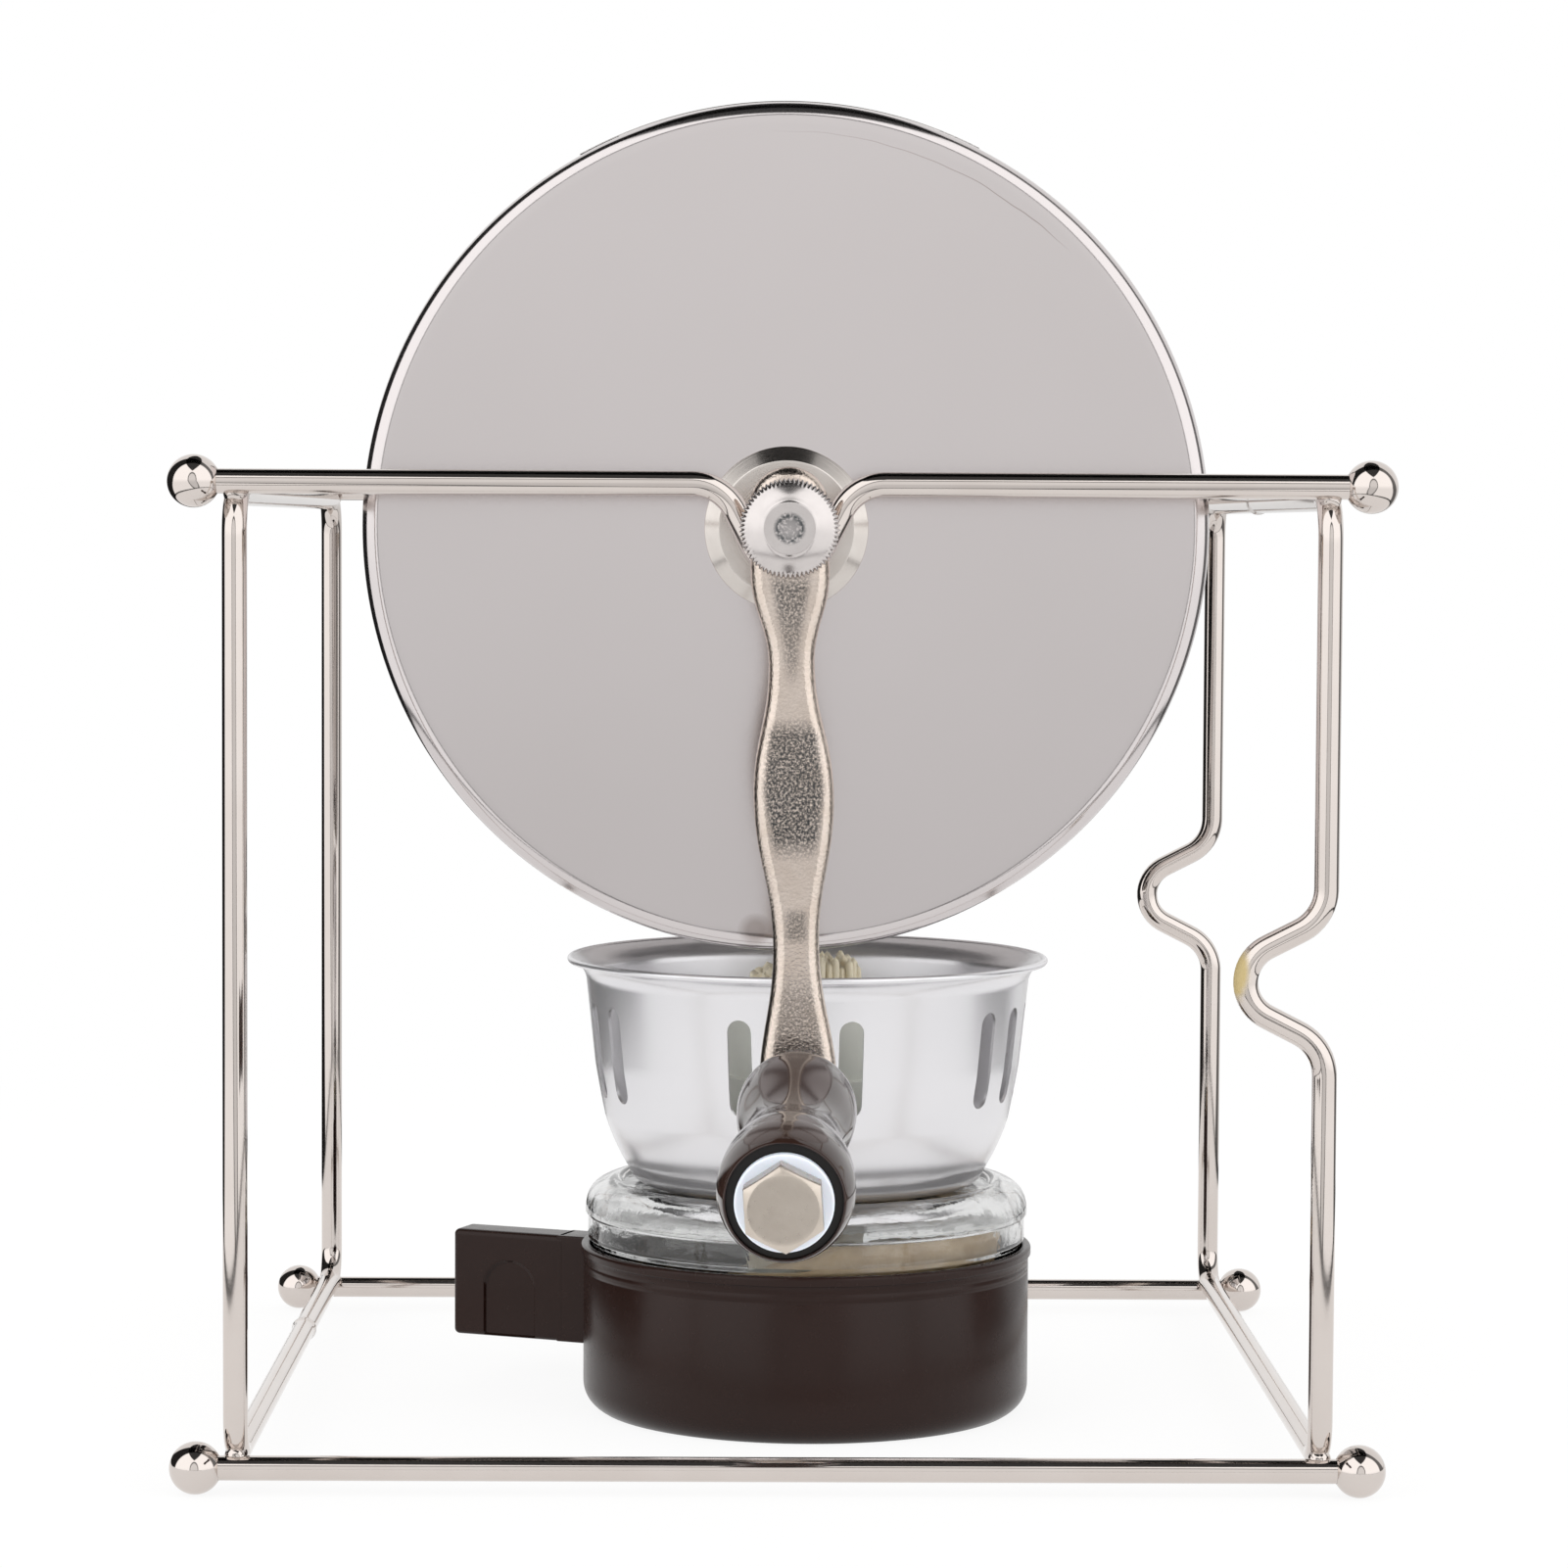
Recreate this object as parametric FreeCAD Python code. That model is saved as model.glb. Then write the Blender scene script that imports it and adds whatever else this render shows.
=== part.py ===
import FreeCAD, Part
import math
import os

from FreeCAD import Rotation, Vector

# Table-top coffee bean roaster: a wire stand, a hand-cranked drum and a spirit burner.
# Millimetres. +X is right, +Y is away from the user, +Z is up.
# The origin is the middle of the burner's base, on the table.

# ---- Wire stand ----
rod_d = 4.7
frame_width = 205.0            # between the centre lines of the two side loops
frame_depth = 205.0            # between the centre lines of a loop's two posts
frame_x = -6.5                 # middle of the stand from the burner's axis
frame_y = 10.5
ball_d = 10.0
ball_gap = 0.2                 # side loop to ball end
ball_bore_clearance = 0.05
top_rod_z = 191.0
loop_bend_r = 7.5
weld_gap = 0.05                # left between welded rods, filled by the bead
weld_bead_r = 2.3
butt_bead_height = 0.35
butt_bead_width = 1.6
left_butt_y = 34.0             # from the middle of the stand
right_butt_y = 16.0

# ---- Saddles for the axle, and the lower pair in the right side loop ----
saddle_x = 1.0                 # from the middle of the stand
saddle_drop = 8.3              # from the rod's line down to the axle
kink_drop = 7.7
kink_z = 98.0
flank_angle = 63.0
shoulder_bend_r = 9.0

# ---- Saddle bushes ----
bush_core_r = 4.9
bush_seat_clearance = 0.1
bush_flange_r = 7.0
bush_flange_t = 1.0
bush_side_clearance = 0.3
axle_clearance = 0.05

# ---- Drum ----
drum_r = 83.0
drum_length = 129.0
cover_sheet = 1.0
cover_edge_r = 3.5
cover_skirt = 9.0
shell_wall = 0.8
shell_clearance = 0.3          # shell to the covers' skirts
axle_d = 8.0
hub_r = 16.0
hub_face_r = 13.2
hub_height = 3.0
hub_edge_height = 1.0          # upright rim below the hub's chamfer
spacer_tube_r = 6.0
spacer_ring_r = 6.8
spacer_clearance = 0.3
cap_r = 9.2

# ---- Stirring vanes ----
vane_count = 3
vane_height = 14.0
vane_t = 1.0
vane_end_gap = 2.0
vane_foot_angle = 7.0
vane_seat_gap = 0.05
vane_first_angle = -90.0

# ---- Hatch ----
hatch_angle = 90.0             # the hatch is on top when the crank hangs down
hatch_half_angle = 24.0
hatch_overlap = 4.0            # of the plate over each end of the bean opening
hatch_overlap_angle = 3.0
hatch_sheet = 0.8
hatch_clearance = 0.3
rail_foot_angle = 3.4
rail_side_angle = 0.6
rail_lip_angle = 2.0
rail_stop_width = 2.0
rail_end_gap = 1.2             # rails to the covers' skirts
pull_r = 4.5
pull_height = 3.0
pull_stem_r = 2.2
pull_stem_height = 1.0
pull_edge_share = 0.33         # rounding, as a share of the pull's thickness

# ---- Crank ----
crank_lean = 1.25              # degrees towards +X from hanging straight down
arm_clearance = 1.5            # ball ends to the arm's back
arm_t = 7.0
arm_chamfer = 1.1
arm_length = 105.3             # axle to grip
arm_head_half = 7.3
arm_head_above = 4.1
arm_head_below = 8.0
arm_waist_half = 4.25
arm_upper_waist = 25.0
arm_middle = 49.5
arm_middle_half = 7.45
arm_lower_waist = 77.0
arm_end_half = 7.3
curve_handle = 0.42            # share of each stretch that its curve handles take
tang_side = 6.0
tang_clearance = 0.05

# ---- Axle caps ----
cap_rim = 0.9
cap_height = 3.8
cap_boss_r = 5.0
cap_boss_drop = 0.4
cap_dimple_r = 2.6
cap_dome_bulge = 0.11          # arcs stand off their chords by this share of them
cap_pocket_r = 4.4
cap_pocket_depth = 2.3
tang_stand = 1.6               # tang past the arm's front face

# ---- Grip and its bolt ----
grip_droop = 4.5
grip_skew = 2.5
boss_r = 6.6
boss_height = 1.0
washer_r = 8.4
washer_t = 2.0
washer_bore_clearance = 0.2
grip_length = 82.0
grip_end_play = 0.3
grip_rear_r = 8.0
grip_rear_bulge_r = 10.9
grip_rear_bulge_s = 11.0
grip_waist_r = 8.4
grip_waist_s = 38.0
grip_front_bulge_r = 11.7
grip_front_bulge_s = 70.0
grip_front_r = 9.8
grip_recess_r = 9.0
grip_rear_round = 0.088
grip_front_round = 0.051
grip_recess_depth = 1.0
bolt_d = 8.0
bolt_clearance = 0.08
bolt_tip_inset = 0.6
hex_across = 13.0
hex_height = 5.3
hex_chamfer_r = 6.0
hex_chamfer_height = 0.7

# ---- Burner cup ----
cup_wall_r = 46.4
cup_base_r = 43.3
cup_base_round = 5.5
base_bulge = 0.147
cup_height = 34.1
cup_lip_r = 46.9
cup_lip_height = 2.0
cup_wall = 1.3
cup_floor = 2.0
tab_angle = 158.0
tab_reach = 79.4
tab_t = 8.8
tab_low_z = 9.7
tab_high_z = 32.4
tab_corner_r = 2.2
tab_root_t = 6.0
tab_root_length = 6.5
tab_recess_width = 11.7
tab_recess_depth = 0.6
tab_recess_top = 6.3
tab_recess_from_tip = 7.4

# ---- Fuel tank ----
tank_r = 44.7
tank_seat = 0.3                # tank's floor above the cup's floor
tank_lip_r = 46.0
tank_lip_gap = 0.4             # glass lip above the cup's rim
tank_lip_flare = 1.2
tank_shoulder_z = 42.0
tank_crest_r = 40.5
tank_crest_z = 47.5
tank_seat_r = 38.0
tank_seat_z = 46.6
tank_wall = 2.6
tank_neck_r = 14.6
tank_shoulder_bulge = 0.2
tank_crest_bulge = 0.2
tank_inner_bulge = 0.2

# ---- Windshield ----
shield_sheet = 0.6
shield_seat = 0.3              # bowl's floor above the tank's top
shield_floor_r = 32.0
shield_heel_r = 37.3
shield_heel_z = 50.4
shield_waist_r = 42.0
shield_waist_z = 61.0
shield_wall_r = 44.1
shield_wall_z = 72.1
shield_neck_r = 46.0
shield_neck_z = 89.6
shield_rim_r = 49.6
shield_rim_z = 93.4
shield_rim_bead = 0.7
shield_heel_bulge = 0.2
shield_side_bulge = 0.034
shield_rim_bulge = 0.135
slot_groups = 5
slots_per_group = 3
slot_pitch = 14.4
slot_group_angle = -4.0        # middle of the front group from straight ahead
slot_width = 5.0
slot_low_z = 65.2
slot_high_z = 85.0

# ---- Wick and its holder ----
holder_tube_r = 13.0
holder_wall = 0.7
holder_flange_r = 19.0
holder_flange_t = 0.9
holder_seat = 0.3
holder_low_z = 43.0
holder_head_r = 17.0
holder_high_z = 86.5
holder_collar_r = 18.0
holder_collar_z = 69.5
wick_clearance = 0.3
wick_foot_gap = 0.3
wick_neck_z = 87.0
wick_spread_r = 12.4
wick_spread_z = 90.5
wick_top_r = 10.0
wick_top_z = 95.0
wick_top_bulge = 0.15
coil_inner_r = 16.0
coil_outer_r = 41.0
coil_top_z = 37.5
coil_edge_r = 5.0

# ---- Worked out from the sizes above ----
rod_r = rod_d / 2
axle_r = axle_d / 2
left_x = frame_x - frame_width / 2
right_x = frame_x + frame_width / 2
front_y = frame_y - frame_depth / 2
rear_y = frame_y + frame_depth / 2
bottom_rod_z = ball_d / 2
bend_reach = loop_bend_r + rod_d + weld_gap
cross_rod_rise = math.sqrt(bend_reach ** 2 - loop_bend_r ** 2) - loop_bend_r
loop_low_z = bottom_rod_z + cross_rod_rise
loop_high_z = top_rod_z - cross_rod_rise
saddle_seat_r = bush_core_r + bush_seat_clearance + rod_r
axle_x = frame_x + saddle_x
axle_z = top_rod_z - saddle_drop
axle_bore_r = axle_r + axle_clearance
drum_front_y = frame_y - drum_length / 2
drum_rear_y = frame_y + drum_length / 2
shell_r = drum_r - cover_sheet - shell_clearance
shell_front_y = drum_front_y + cover_edge_r
shell_rear_y = drum_rear_y - cover_edge_r
rail_half_length = drum_length / 2 - cover_skirt - rail_end_gap
hatch_closed_y = rail_stop_width + hatch_clearance - rail_half_length
hatch_travel = -hatch_closed_y - hatch_overlap
hatch_length = hatch_travel + 2 * hatch_overlap
bush_half = rod_r + bush_side_clearance + bush_flange_t
arm_back_y = front_y - ball_d / 2 - arm_clearance
arm_front_y = arm_back_y - arm_t
droop_turn = Rotation(Vector(1, 0, 0), grip_droop)
skew_turn = Rotation(Vector(0, 0, 1), -grip_skew)
grip_direction = skew_turn.multVec(droop_turn.multVec(Vector(0, -1, 0)))

nodes = {}


def save(name, shape):
    """Write one node as a STEP file and print its volume."""
    nodes[name] = shape
    shape.exportStep("parts/" + name + ".step")
    print("%-22s solids %2d  volume %10.1f  valid %s" % (
        name, len(shape.Solids), shape.Volume, shape.isValid()))


def fused(pieces):
    """Return the union of the pieces with the seams between them removed."""
    whole = pieces[0]
    if len(pieces) > 1:
        whole = pieces[0].fuse(pieces[1:])
    return whole.removeSplitter()


def outline_face(start, steps):
    """Return a face in the XZ plane.

    Each step is a point, an arc's middle and end, or a curve's two handles and end.
    """
    edges = []
    here = start
    for step in steps:
        points = [Vector(x, 0, z) for x, z in [here] + list(step)]
        if len(step) == 1:
            edges.append(Part.LineSegment(*points).toShape())
        elif len(step) == 2:
            edges.append(Part.Arc(*points).toShape())
        else:
            curve = Part.BezierCurve()
            curve.setPoles(points)
            edges.append(curve.toShape())
        here = step[-1]
    return Part.Face(Part.Wire(edges))


def turned(start, steps):
    """Return the solid of revolution about Z of an outline of (radius, height) points."""
    return outline_face(start, steps + [[start]]).revolve(Vector(0, 0, 0), Vector(0, 0, 1), 360)


def arc_step(start, end, bulge):
    """Return an arc step; its middle stands off the chord by a share of it, to the right of the way."""
    middle = ((start[0] + end[0]) / 2 + bulge * (end[1] - start[1]),
              (start[1] + end[1]) / 2 - bulge * (end[0] - start[0]))
    return [middle, end]


def disc(radius, low, high):
    """Return a plain cylinder about Z."""
    return Part.makeCylinder(radius, high - low, Vector(0, 0, low))


def ring(outer_r, inner_r, low, high):
    """Return a plain ring about Z."""
    return disc(outer_r, low, high).cut(disc(inner_r, low, high))


def on_axle(shape, at_y):
    """Lay a solid made about Z along the axle, its zero height at at_y and its top towards the user."""
    laid = shape.copy()
    laid.rotate(Vector(0, 0, 0), Vector(1, 0, 0), 90)
    laid.translate(Vector(axle_x, at_y, axle_z))
    return laid


def behind_axle(shape, at_y):
    """Lay a solid made about Z along the axle, its zero height at at_y and its top away from the user."""
    laid = shape.copy()
    laid.rotate(Vector(0, 0, 0), Vector(1, 0, 0), -90)
    laid.translate(Vector(axle_x, at_y, axle_z))
    return laid


def leaned(shape):
    """Turn a piece of the drum about the axle by the crank's lean."""
    moved = shape.copy()
    moved.rotate(Vector(axle_x, 0, axle_z), Vector(0, 1, 0), -crank_lean)
    return moved


def bend_path(corners, radii):
    """Return straight runs joined by tangent arcs, one radius for each inner corner."""
    edges = []
    here = corners[0]
    for index, radius in enumerate(radii):
        corner = corners[index + 1]
        inward = (corners[index] - corner).normalize()
        outward = (corners[index + 2] - corner).normalize()
        half = inward.getAngle(outward) / 2
        first = corner + inward * (radius / math.tan(half))
        last = corner + outward * (radius / math.tan(half))
        bisector = (inward + outward).normalize()
        middle = corner + bisector * (radius / math.sin(half) - radius)
        edges.append(Part.LineSegment(here, first).toShape())
        edges.append(Part.Arc(first, middle, last).toShape())
        here = last
    edges.append(Part.LineSegment(here, corners[-1]).toShape())
    return Part.Wire(edges)


def rod_on(path):
    """Return the round rod that follows a path."""
    first = path.Edges[0]
    start = first.valueAt(first.FirstParameter)
    heading = first.tangentAt(first.FirstParameter)
    section = Part.Wire(Part.Circle(start, heading, rod_r).toShape())
    return path.makePipeShell([section], True, True)


def saddle_corners(drop, level, middle):
    """Return a saddle's corners as (along, across): two shoulders and where the flanks meet."""
    flank = math.radians(flank_angle)
    shoulder = (drop * math.cos(flank) + saddle_seat_r) / math.sin(flank)
    depth = drop + saddle_seat_r / math.cos(flank)
    return [(middle - shoulder, level), (middle, level - depth), (middle + shoulder, level)]


# ---- Wire stand ----

def side_loop(x, butt_y, butt_z, notched):
    """Return a closed side loop, its posts kinked inward where notched, and a bead at its butt weld."""
    halves = []
    for post_y in (front_y, rear_y):
        post = [Vector(x, post_y, loop_low_z), Vector(x, post_y, loop_high_z)]
        post_radii = [loop_bend_r, loop_bend_r]
        if notched:
            notch = [Vector(across, post_y, along) for along, across in saddle_corners(kink_drop, x, kink_z)]
            post = [post[0]] + notch + [post[1]]
            post_radii = [loop_bend_r, shoulder_bend_r, saddle_seat_r, shoulder_bend_r, loop_bend_r]
        ends = [Vector(x, frame_y + butt_y, loop_low_z), Vector(x, frame_y + butt_y, loop_high_z)]
        halves.append(rod_on(bend_path([ends[0]] + post + [ends[1]], post_radii)))
    bead = Part.makeCylinder(rod_r + butt_bead_height, butt_bead_width)
    bead = bead.makeChamfer(butt_bead_height, [edge for edge in bead.Edges if edge.Length > rod_d])
    bead.rotate(Vector(0, 0, 0), Vector(1, 0, 0), -90)
    bead.translate(Vector(x, frame_y + butt_y - butt_bead_width / 2, butt_z))
    return fused(halves + [bead])


def cross_rod(y, z, reach, saddled):
    """Return a rod across the stand, dipped to hold the axle where saddled."""
    ends = [Vector(frame_x - reach, y, z), Vector(frame_x + reach, y, z)]
    if not saddled:
        return rod_on(Part.Wire(Part.LineSegment(*ends).toShape()))
    dip = [Vector(along, y, across) for along, across in saddle_corners(saddle_drop, z, axle_x)]
    return rod_on(bend_path([ends[0]] + dip + [ends[1]], [shoulder_bend_r, saddle_seat_r, shoulder_bend_r]))


def bored_ball():
    """Return a ball about the origin, bored from below to its middle."""
    ball_r = ball_d / 2
    bore_r = rod_r + ball_bore_clearance
    mouth = (bore_r, -math.sqrt(ball_r ** 2 - bore_r ** 2))
    return turned((0, 0), [[(bore_r, 0)], [mouth], [(ball_r, 0), (0, ball_r)]])


def ball_pair(y, z):
    """Return the two ball ends of a cross rod, bored for it."""
    balls = []
    for side in (-1, 1):
        ball = bored_ball()
        ball.rotate(Vector(0, 0, 0), Vector(0, 1, 0), side * 90)
        ball.translate(Vector(frame_x + side * ball_centre_reach, y, z))
        balls.append(ball)
    return Part.makeCompound(balls)


def weld_beads(rods, loops):
    """Return the beads where each cross rod meets the corners of the side loops."""
    beads = []
    reach = loop_bend_r + rod_r + weld_gap / 2
    for y, inward in ((front_y, 1), (rear_y, -1)):
        for z, upward in ((bottom_rod_z, 1), (top_rod_z, -1)):
            for x in (left_x, right_x):
                bend_z = z + upward * (cross_rod_rise + loop_bend_r)
                slope_y = -inward * reach * loop_bend_r / bend_reach
                slope_z = -upward * reach * (cross_rod_rise + loop_bend_r) / bend_reach
                centre = Vector(x, y + inward * loop_bend_r + slope_y, bend_z + slope_z)
                beads.append(Part.makeSphere(weld_bead_r, centre))
    whole = Part.makeCompound(beads)
    return whole.cut(rods + loops)


ball_centre_reach = frame_width / 2 + rod_r + ball_gap + ball_d / 2
rod_reach = ball_centre_reach - ball_gap
plain_reach = frame_width / 2 + rod_r


def build_stand():
    """Write the stand's nodes."""
    left = side_loop(left_x, left_butt_y, loop_low_z, False)
    right = side_loop(right_x, right_butt_y, loop_high_z, True)
    rods = {
        "front_top_rod": cross_rod(front_y, top_rod_z, rod_reach, True),
        "rear_top_rod": cross_rod(rear_y, top_rod_z, plain_reach, True),
        "front_bottom_rod": cross_rod(front_y, bottom_rod_z, rod_reach, False),
        "rear_bottom_rod": cross_rod(rear_y, bottom_rod_z, rod_reach, False),
    }
    save("left_side_loop", left)
    save("right_side_loop", right)
    for name, rod in rods.items():
        save(name, rod)
    save("front_top_balls", ball_pair(front_y, top_rod_z))
    save("front_bottom_balls", ball_pair(front_y, bottom_rod_z))
    save("rear_bottom_balls", ball_pair(rear_y, bottom_rod_z))
    save("weld_beads", weld_beads(list(rods.values()), [left, right]))


# ---- Saddle bushes ----

def build_bushes():
    """Write the two flanged bushes that lie in the saddles."""
    core_half = bush_half - bush_flange_t
    bush = turned((axle_bore_r, -bush_half), [
        [(bush_flange_r, -bush_half)], [(bush_flange_r, -core_half)], [(bush_core_r, -core_half)],
        [(bush_core_r, core_half)], [(bush_flange_r, core_half)], [(bush_flange_r, bush_half)],
        [(axle_bore_r, bush_half)]])
    save("front_saddle_bush", on_axle(bush, front_y))
    save("rear_saddle_bush", on_axle(bush, rear_y))


# ---- Drum ----

def drum_cover():
    """Return a pressed end cover about Z, its outer face at height 0 and its skirt below."""
    inner_edge_r = cover_edge_r - cover_sheet
    bend = 1 - math.sqrt(0.5)
    outer_mid = (drum_r - cover_edge_r * bend, -cover_edge_r * bend)
    inner_wall_r = drum_r - cover_sheet
    inner_mid = (inner_wall_r - inner_edge_r * bend, -cover_sheet - inner_edge_r * bend)
    return turned((axle_bore_r, 0), [
        [(drum_r - cover_edge_r, 0)], [outer_mid, (drum_r, -cover_edge_r)],
        [(drum_r, -cover_skirt)], [(inner_wall_r, -cover_skirt)], [(inner_wall_r, -cover_edge_r)],
        [inner_mid, (inner_wall_r - inner_edge_r, -cover_sheet)], [(axle_bore_r, -cover_sheet)]])


def drum_sector(inner_r, outer_r, low_y, high_y, middle_angle, half_angle):
    """Return a curved block about the axle, its angle from +X towards +Z, its ends from the drum's middle."""
    corners = [(inner_r, low_y), (outer_r, low_y), (outer_r, high_y), (inner_r, high_y), (inner_r, low_y)]
    face = Part.Face(Part.makePolygon([Vector(x, y, 0) for x, y in corners]))
    face.rotate(Vector(0, 0, 0), Vector(0, 1, 0), half_angle - middle_angle)
    block = face.revolve(Vector(0, 0, 0), Vector(0, 1, 0), -2 * half_angle)
    block.translate(Vector(axle_x, frame_y, axle_z))
    return block


def hub_flange():
    """Return a chamfered hub flange about Z, standing on height 0."""
    return turned((axle_bore_r, 0), [
        [(hub_r, 0)], [(hub_r, hub_edge_height)], [(hub_face_r, hub_height)], [(axle_bore_r, hub_height)]])


def drum_shell():
    """Return the drum's rolled wall with the bean opening cut in it."""
    wall = on_axle(ring(shell_r, shell_r - shell_wall, 0, shell_rear_y - shell_front_y), shell_rear_y)
    front = hatch_closed_y + hatch_overlap
    opening = drum_sector(shell_r - 2 * shell_wall, shell_r + shell_wall, front,
                          hatch_closed_y + hatch_length - hatch_overlap,
                          hatch_angle, hatch_half_angle - hatch_overlap_angle)
    return wall.cut(opening)


def polar(radius, angle):
    """Return the point at a radius and an angle in radians."""
    return (radius * math.cos(angle), radius * math.sin(angle))


def vane_face():
    """Return the section of a lifting vane: a radial blade with a curved foot along the wall."""
    outer = shell_r - shell_wall - vane_seat_gap
    inner = outer - vane_t
    foot_end = math.radians(vane_foot_angle)
    low = math.asin(-vane_t / 2 / outer)
    high = math.asin(vane_t / 2 / inner)
    return outline_face((outer - vane_height, -vane_t / 2), [
        [polar(outer, low)], [polar(outer, (low + foot_end) / 2), polar(outer, foot_end)],
        [polar(inner, foot_end)], [polar(inner, (foot_end + high) / 2), polar(inner, high)],
        [(outer - vane_height, vane_t / 2)], [(outer - vane_height, -vane_t / 2)]])


def stirring_vanes():
    """Return the lifting vanes inside the drum, each with a foot against the wall."""
    vanes = []
    length = shell_rear_y - shell_front_y - 2 * vane_end_gap
    for index in range(vane_count):
        vane = vane_face().extrude(Vector(0, length, 0))
        vane.rotate(Vector(0, 0, 0), Vector(0, 1, 0), -vane_first_angle - index * 360 / vane_count)
        vane.translate(Vector(axle_x, frame_y - length / 2, axle_z))
        vanes.append(vane)
    return Part.makeCompound(vanes)


def hatch_rails():
    """Return the riveted frame that the hatch plate slides in: two hooked rails and two end stops."""
    plate_low = shell_r + hatch_clearance
    lip_low = plate_low + hatch_sheet + hatch_clearance
    lip_high = lip_low + hatch_sheet
    inner_half = hatch_half_angle + rail_side_angle
    outer_half = inner_half + rail_foot_angle
    pieces = []
    for side in (-1, 1):
        foot_middle = hatch_angle + side * (inner_half + outer_half) / 2
        lip_middle = hatch_angle + side * (outer_half + hatch_half_angle - rail_lip_angle) / 2
        lip_half = (outer_half - hatch_half_angle + rail_lip_angle) / 2
        pieces.append(drum_sector(shell_r, lip_high, -rail_half_length, rail_half_length,
                                  foot_middle, rail_foot_angle / 2))
        pieces.append(drum_sector(lip_low, lip_high, -rail_half_length, rail_half_length,
                                  lip_middle, lip_half))
    for low in (-rail_half_length, rail_half_length - rail_stop_width):
        pieces.append(drum_sector(shell_r, lip_high, low, low + rail_stop_width, hatch_angle, outer_half))
    return fused(pieces)


def build_hatch():
    """Write the sliding hatch plate and its pull."""
    low = shell_r + hatch_clearance
    plate = drum_sector(low, low + hatch_sheet, hatch_closed_y, hatch_closed_y + hatch_length,
                        hatch_angle, hatch_half_angle)
    top = low + hatch_sheet
    sink = top - math.sqrt(top ** 2 - pull_stem_r ** 2) + hatch_sheet / 2
    stem = disc(pull_stem_r, -sink, pull_stem_height)
    head = disc(pull_r, pull_stem_height, pull_height)
    rims = [edge for edge in head.Edges if edge.Length > pull_r * 4]
    head = head.makeFillet((pull_height - pull_stem_height) * pull_edge_share, rims)
    pull = fused([stem, head])
    pull.translate(Vector(0, 0, top))
    pull.rotate(Vector(0, 0, 0), Vector(0, 1, 0), 90 - hatch_angle)
    pull.translate(Vector(axle_x, frame_y + hatch_closed_y + hatch_length / 2, axle_z))
    save("hatch_plate", leaned(plate.cut(pull)))
    save("hatch_pull", leaned(pull))


def build_axle():
    """Write the axle with its square tang, its spacers and its caps."""
    rear_end = rear_y + bush_half + 2 * spacer_clearance + arm_clearance + tang_stand
    shaft = on_axle(disc(axle_r, 0, rear_end - arm_back_y), rear_end)
    tang_length = arm_t + tang_stand
    tang = Part.makeBox(tang_side, tang_length, tang_side)
    tang.translate(Vector(axle_x - tang_side / 2, arm_back_y - tang_length, axle_z - tang_side / 2))
    save("axle", leaned(fused([shaft, tang])))
    bush_gap = bush_half + spacer_clearance
    hub_gap = hub_height + spacer_clearance
    spacers = (
        ("front_spacer_tube", spacer_tube_r, front_y + bush_gap, drum_front_y - hub_gap),
        ("rear_spacer_tube", spacer_tube_r, drum_rear_y + hub_gap, rear_y - bush_gap),
        ("front_spacer_ring", spacer_ring_r, arm_back_y + spacer_clearance, front_y - bush_gap),
        ("rear_spacer_ring", spacer_ring_r, rear_y + bush_gap, rear_y + bush_gap + arm_clearance),
    )
    for name, radius, low, high in spacers:
        save(name, leaned(on_axle(ring(radius, axle_bore_r, 0, high - low), high)))
    save("front_axle_cap", leaned(on_axle(axle_cap(), arm_front_y)))
    save("rear_axle_cap", leaned(behind_axle(axle_cap(), rear_end - tang_stand)))


def axle_cap():
    """Return a push-on domed cap about Z, standing on height 0 with a pocket for the axle's end."""
    boss_z = cap_height - cap_boss_drop
    cap = turned((0, 0), [
        [(cap_r, 0)], [(cap_r, cap_rim)], arc_step((cap_r, cap_rim), (cap_boss_r, boss_z), cap_dome_bulge),
        [(cap_boss_r - cap_boss_drop, cap_height)], [(cap_dimple_r, cap_height)], [(0, boss_z)]])
    return cap.cut(disc(cap_pocket_r, 0, cap_pocket_depth))


def build_drum():
    """Write the drum's own nodes."""
    save("drum_shell", leaned(drum_shell()))
    save("front_cover", leaned(on_axle(drum_cover(), drum_front_y)))
    save("rear_cover", leaned(behind_axle(drum_cover(), drum_rear_y)))
    save("front_hub_flange", leaned(on_axle(hub_flange(), drum_front_y)))
    save("rear_hub_flange", leaned(behind_axle(hub_flange(), drum_rear_y)))
    save("stirring_vanes", leaned(stirring_vanes()))
    save("hatch_rails", leaned(hatch_rails()))


# ---- Crank ----

def curve_step(start, end):
    """Return a Bezier step between two stations whose ends run along the arm."""
    handle = (end[1] - start[1]) * curve_handle
    return [(start[0], start[1] + handle), (end[0], end[1] - handle), end]


def arm_blank():
    """Return the arm's flat blank, pivot at the origin and hanging down, from y = 0 towards the user."""
    stations = [
        (arm_head_half, -arm_head_below), (arm_waist_half, -arm_upper_waist),
        (arm_middle_half, -arm_middle), (arm_waist_half, -arm_lower_waist), (arm_end_half, -arm_length)]
    mirrored = [(-half, along) for half, along in reversed(stations)]
    steps = [[stations[0]]]
    for first, second in zip(stations, stations[1:]):
        steps.append(curve_step(first, second))
    steps.append([(0, -arm_length - arm_end_half), mirrored[0]])
    for first, second in zip(mirrored, mirrored[1:]):
        steps.append(curve_step(first, second))
    steps.append([(-arm_head_half, arm_head_above)])
    steps.append([(0, arm_head_above + arm_head_half), (arm_head_half, arm_head_above)])
    start = (arm_head_half, arm_head_above)
    return outline_face(start, steps).extrude(Vector(0, -arm_t, 0))


def on_grip_axis(shape):
    """Move a solid made about Z onto the grip's axis, its zero height at the arm's front face."""
    moved = shape.copy()
    turn = Rotation(Vector(0, 0, 1), grip_direction)
    moved.rotate(Vector(0, 0, 0), turn.Axis, math.degrees(turn.Angle))
    moved.translate(Vector(axle_x, arm_front_y, axle_z - arm_length))
    return moved


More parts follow.
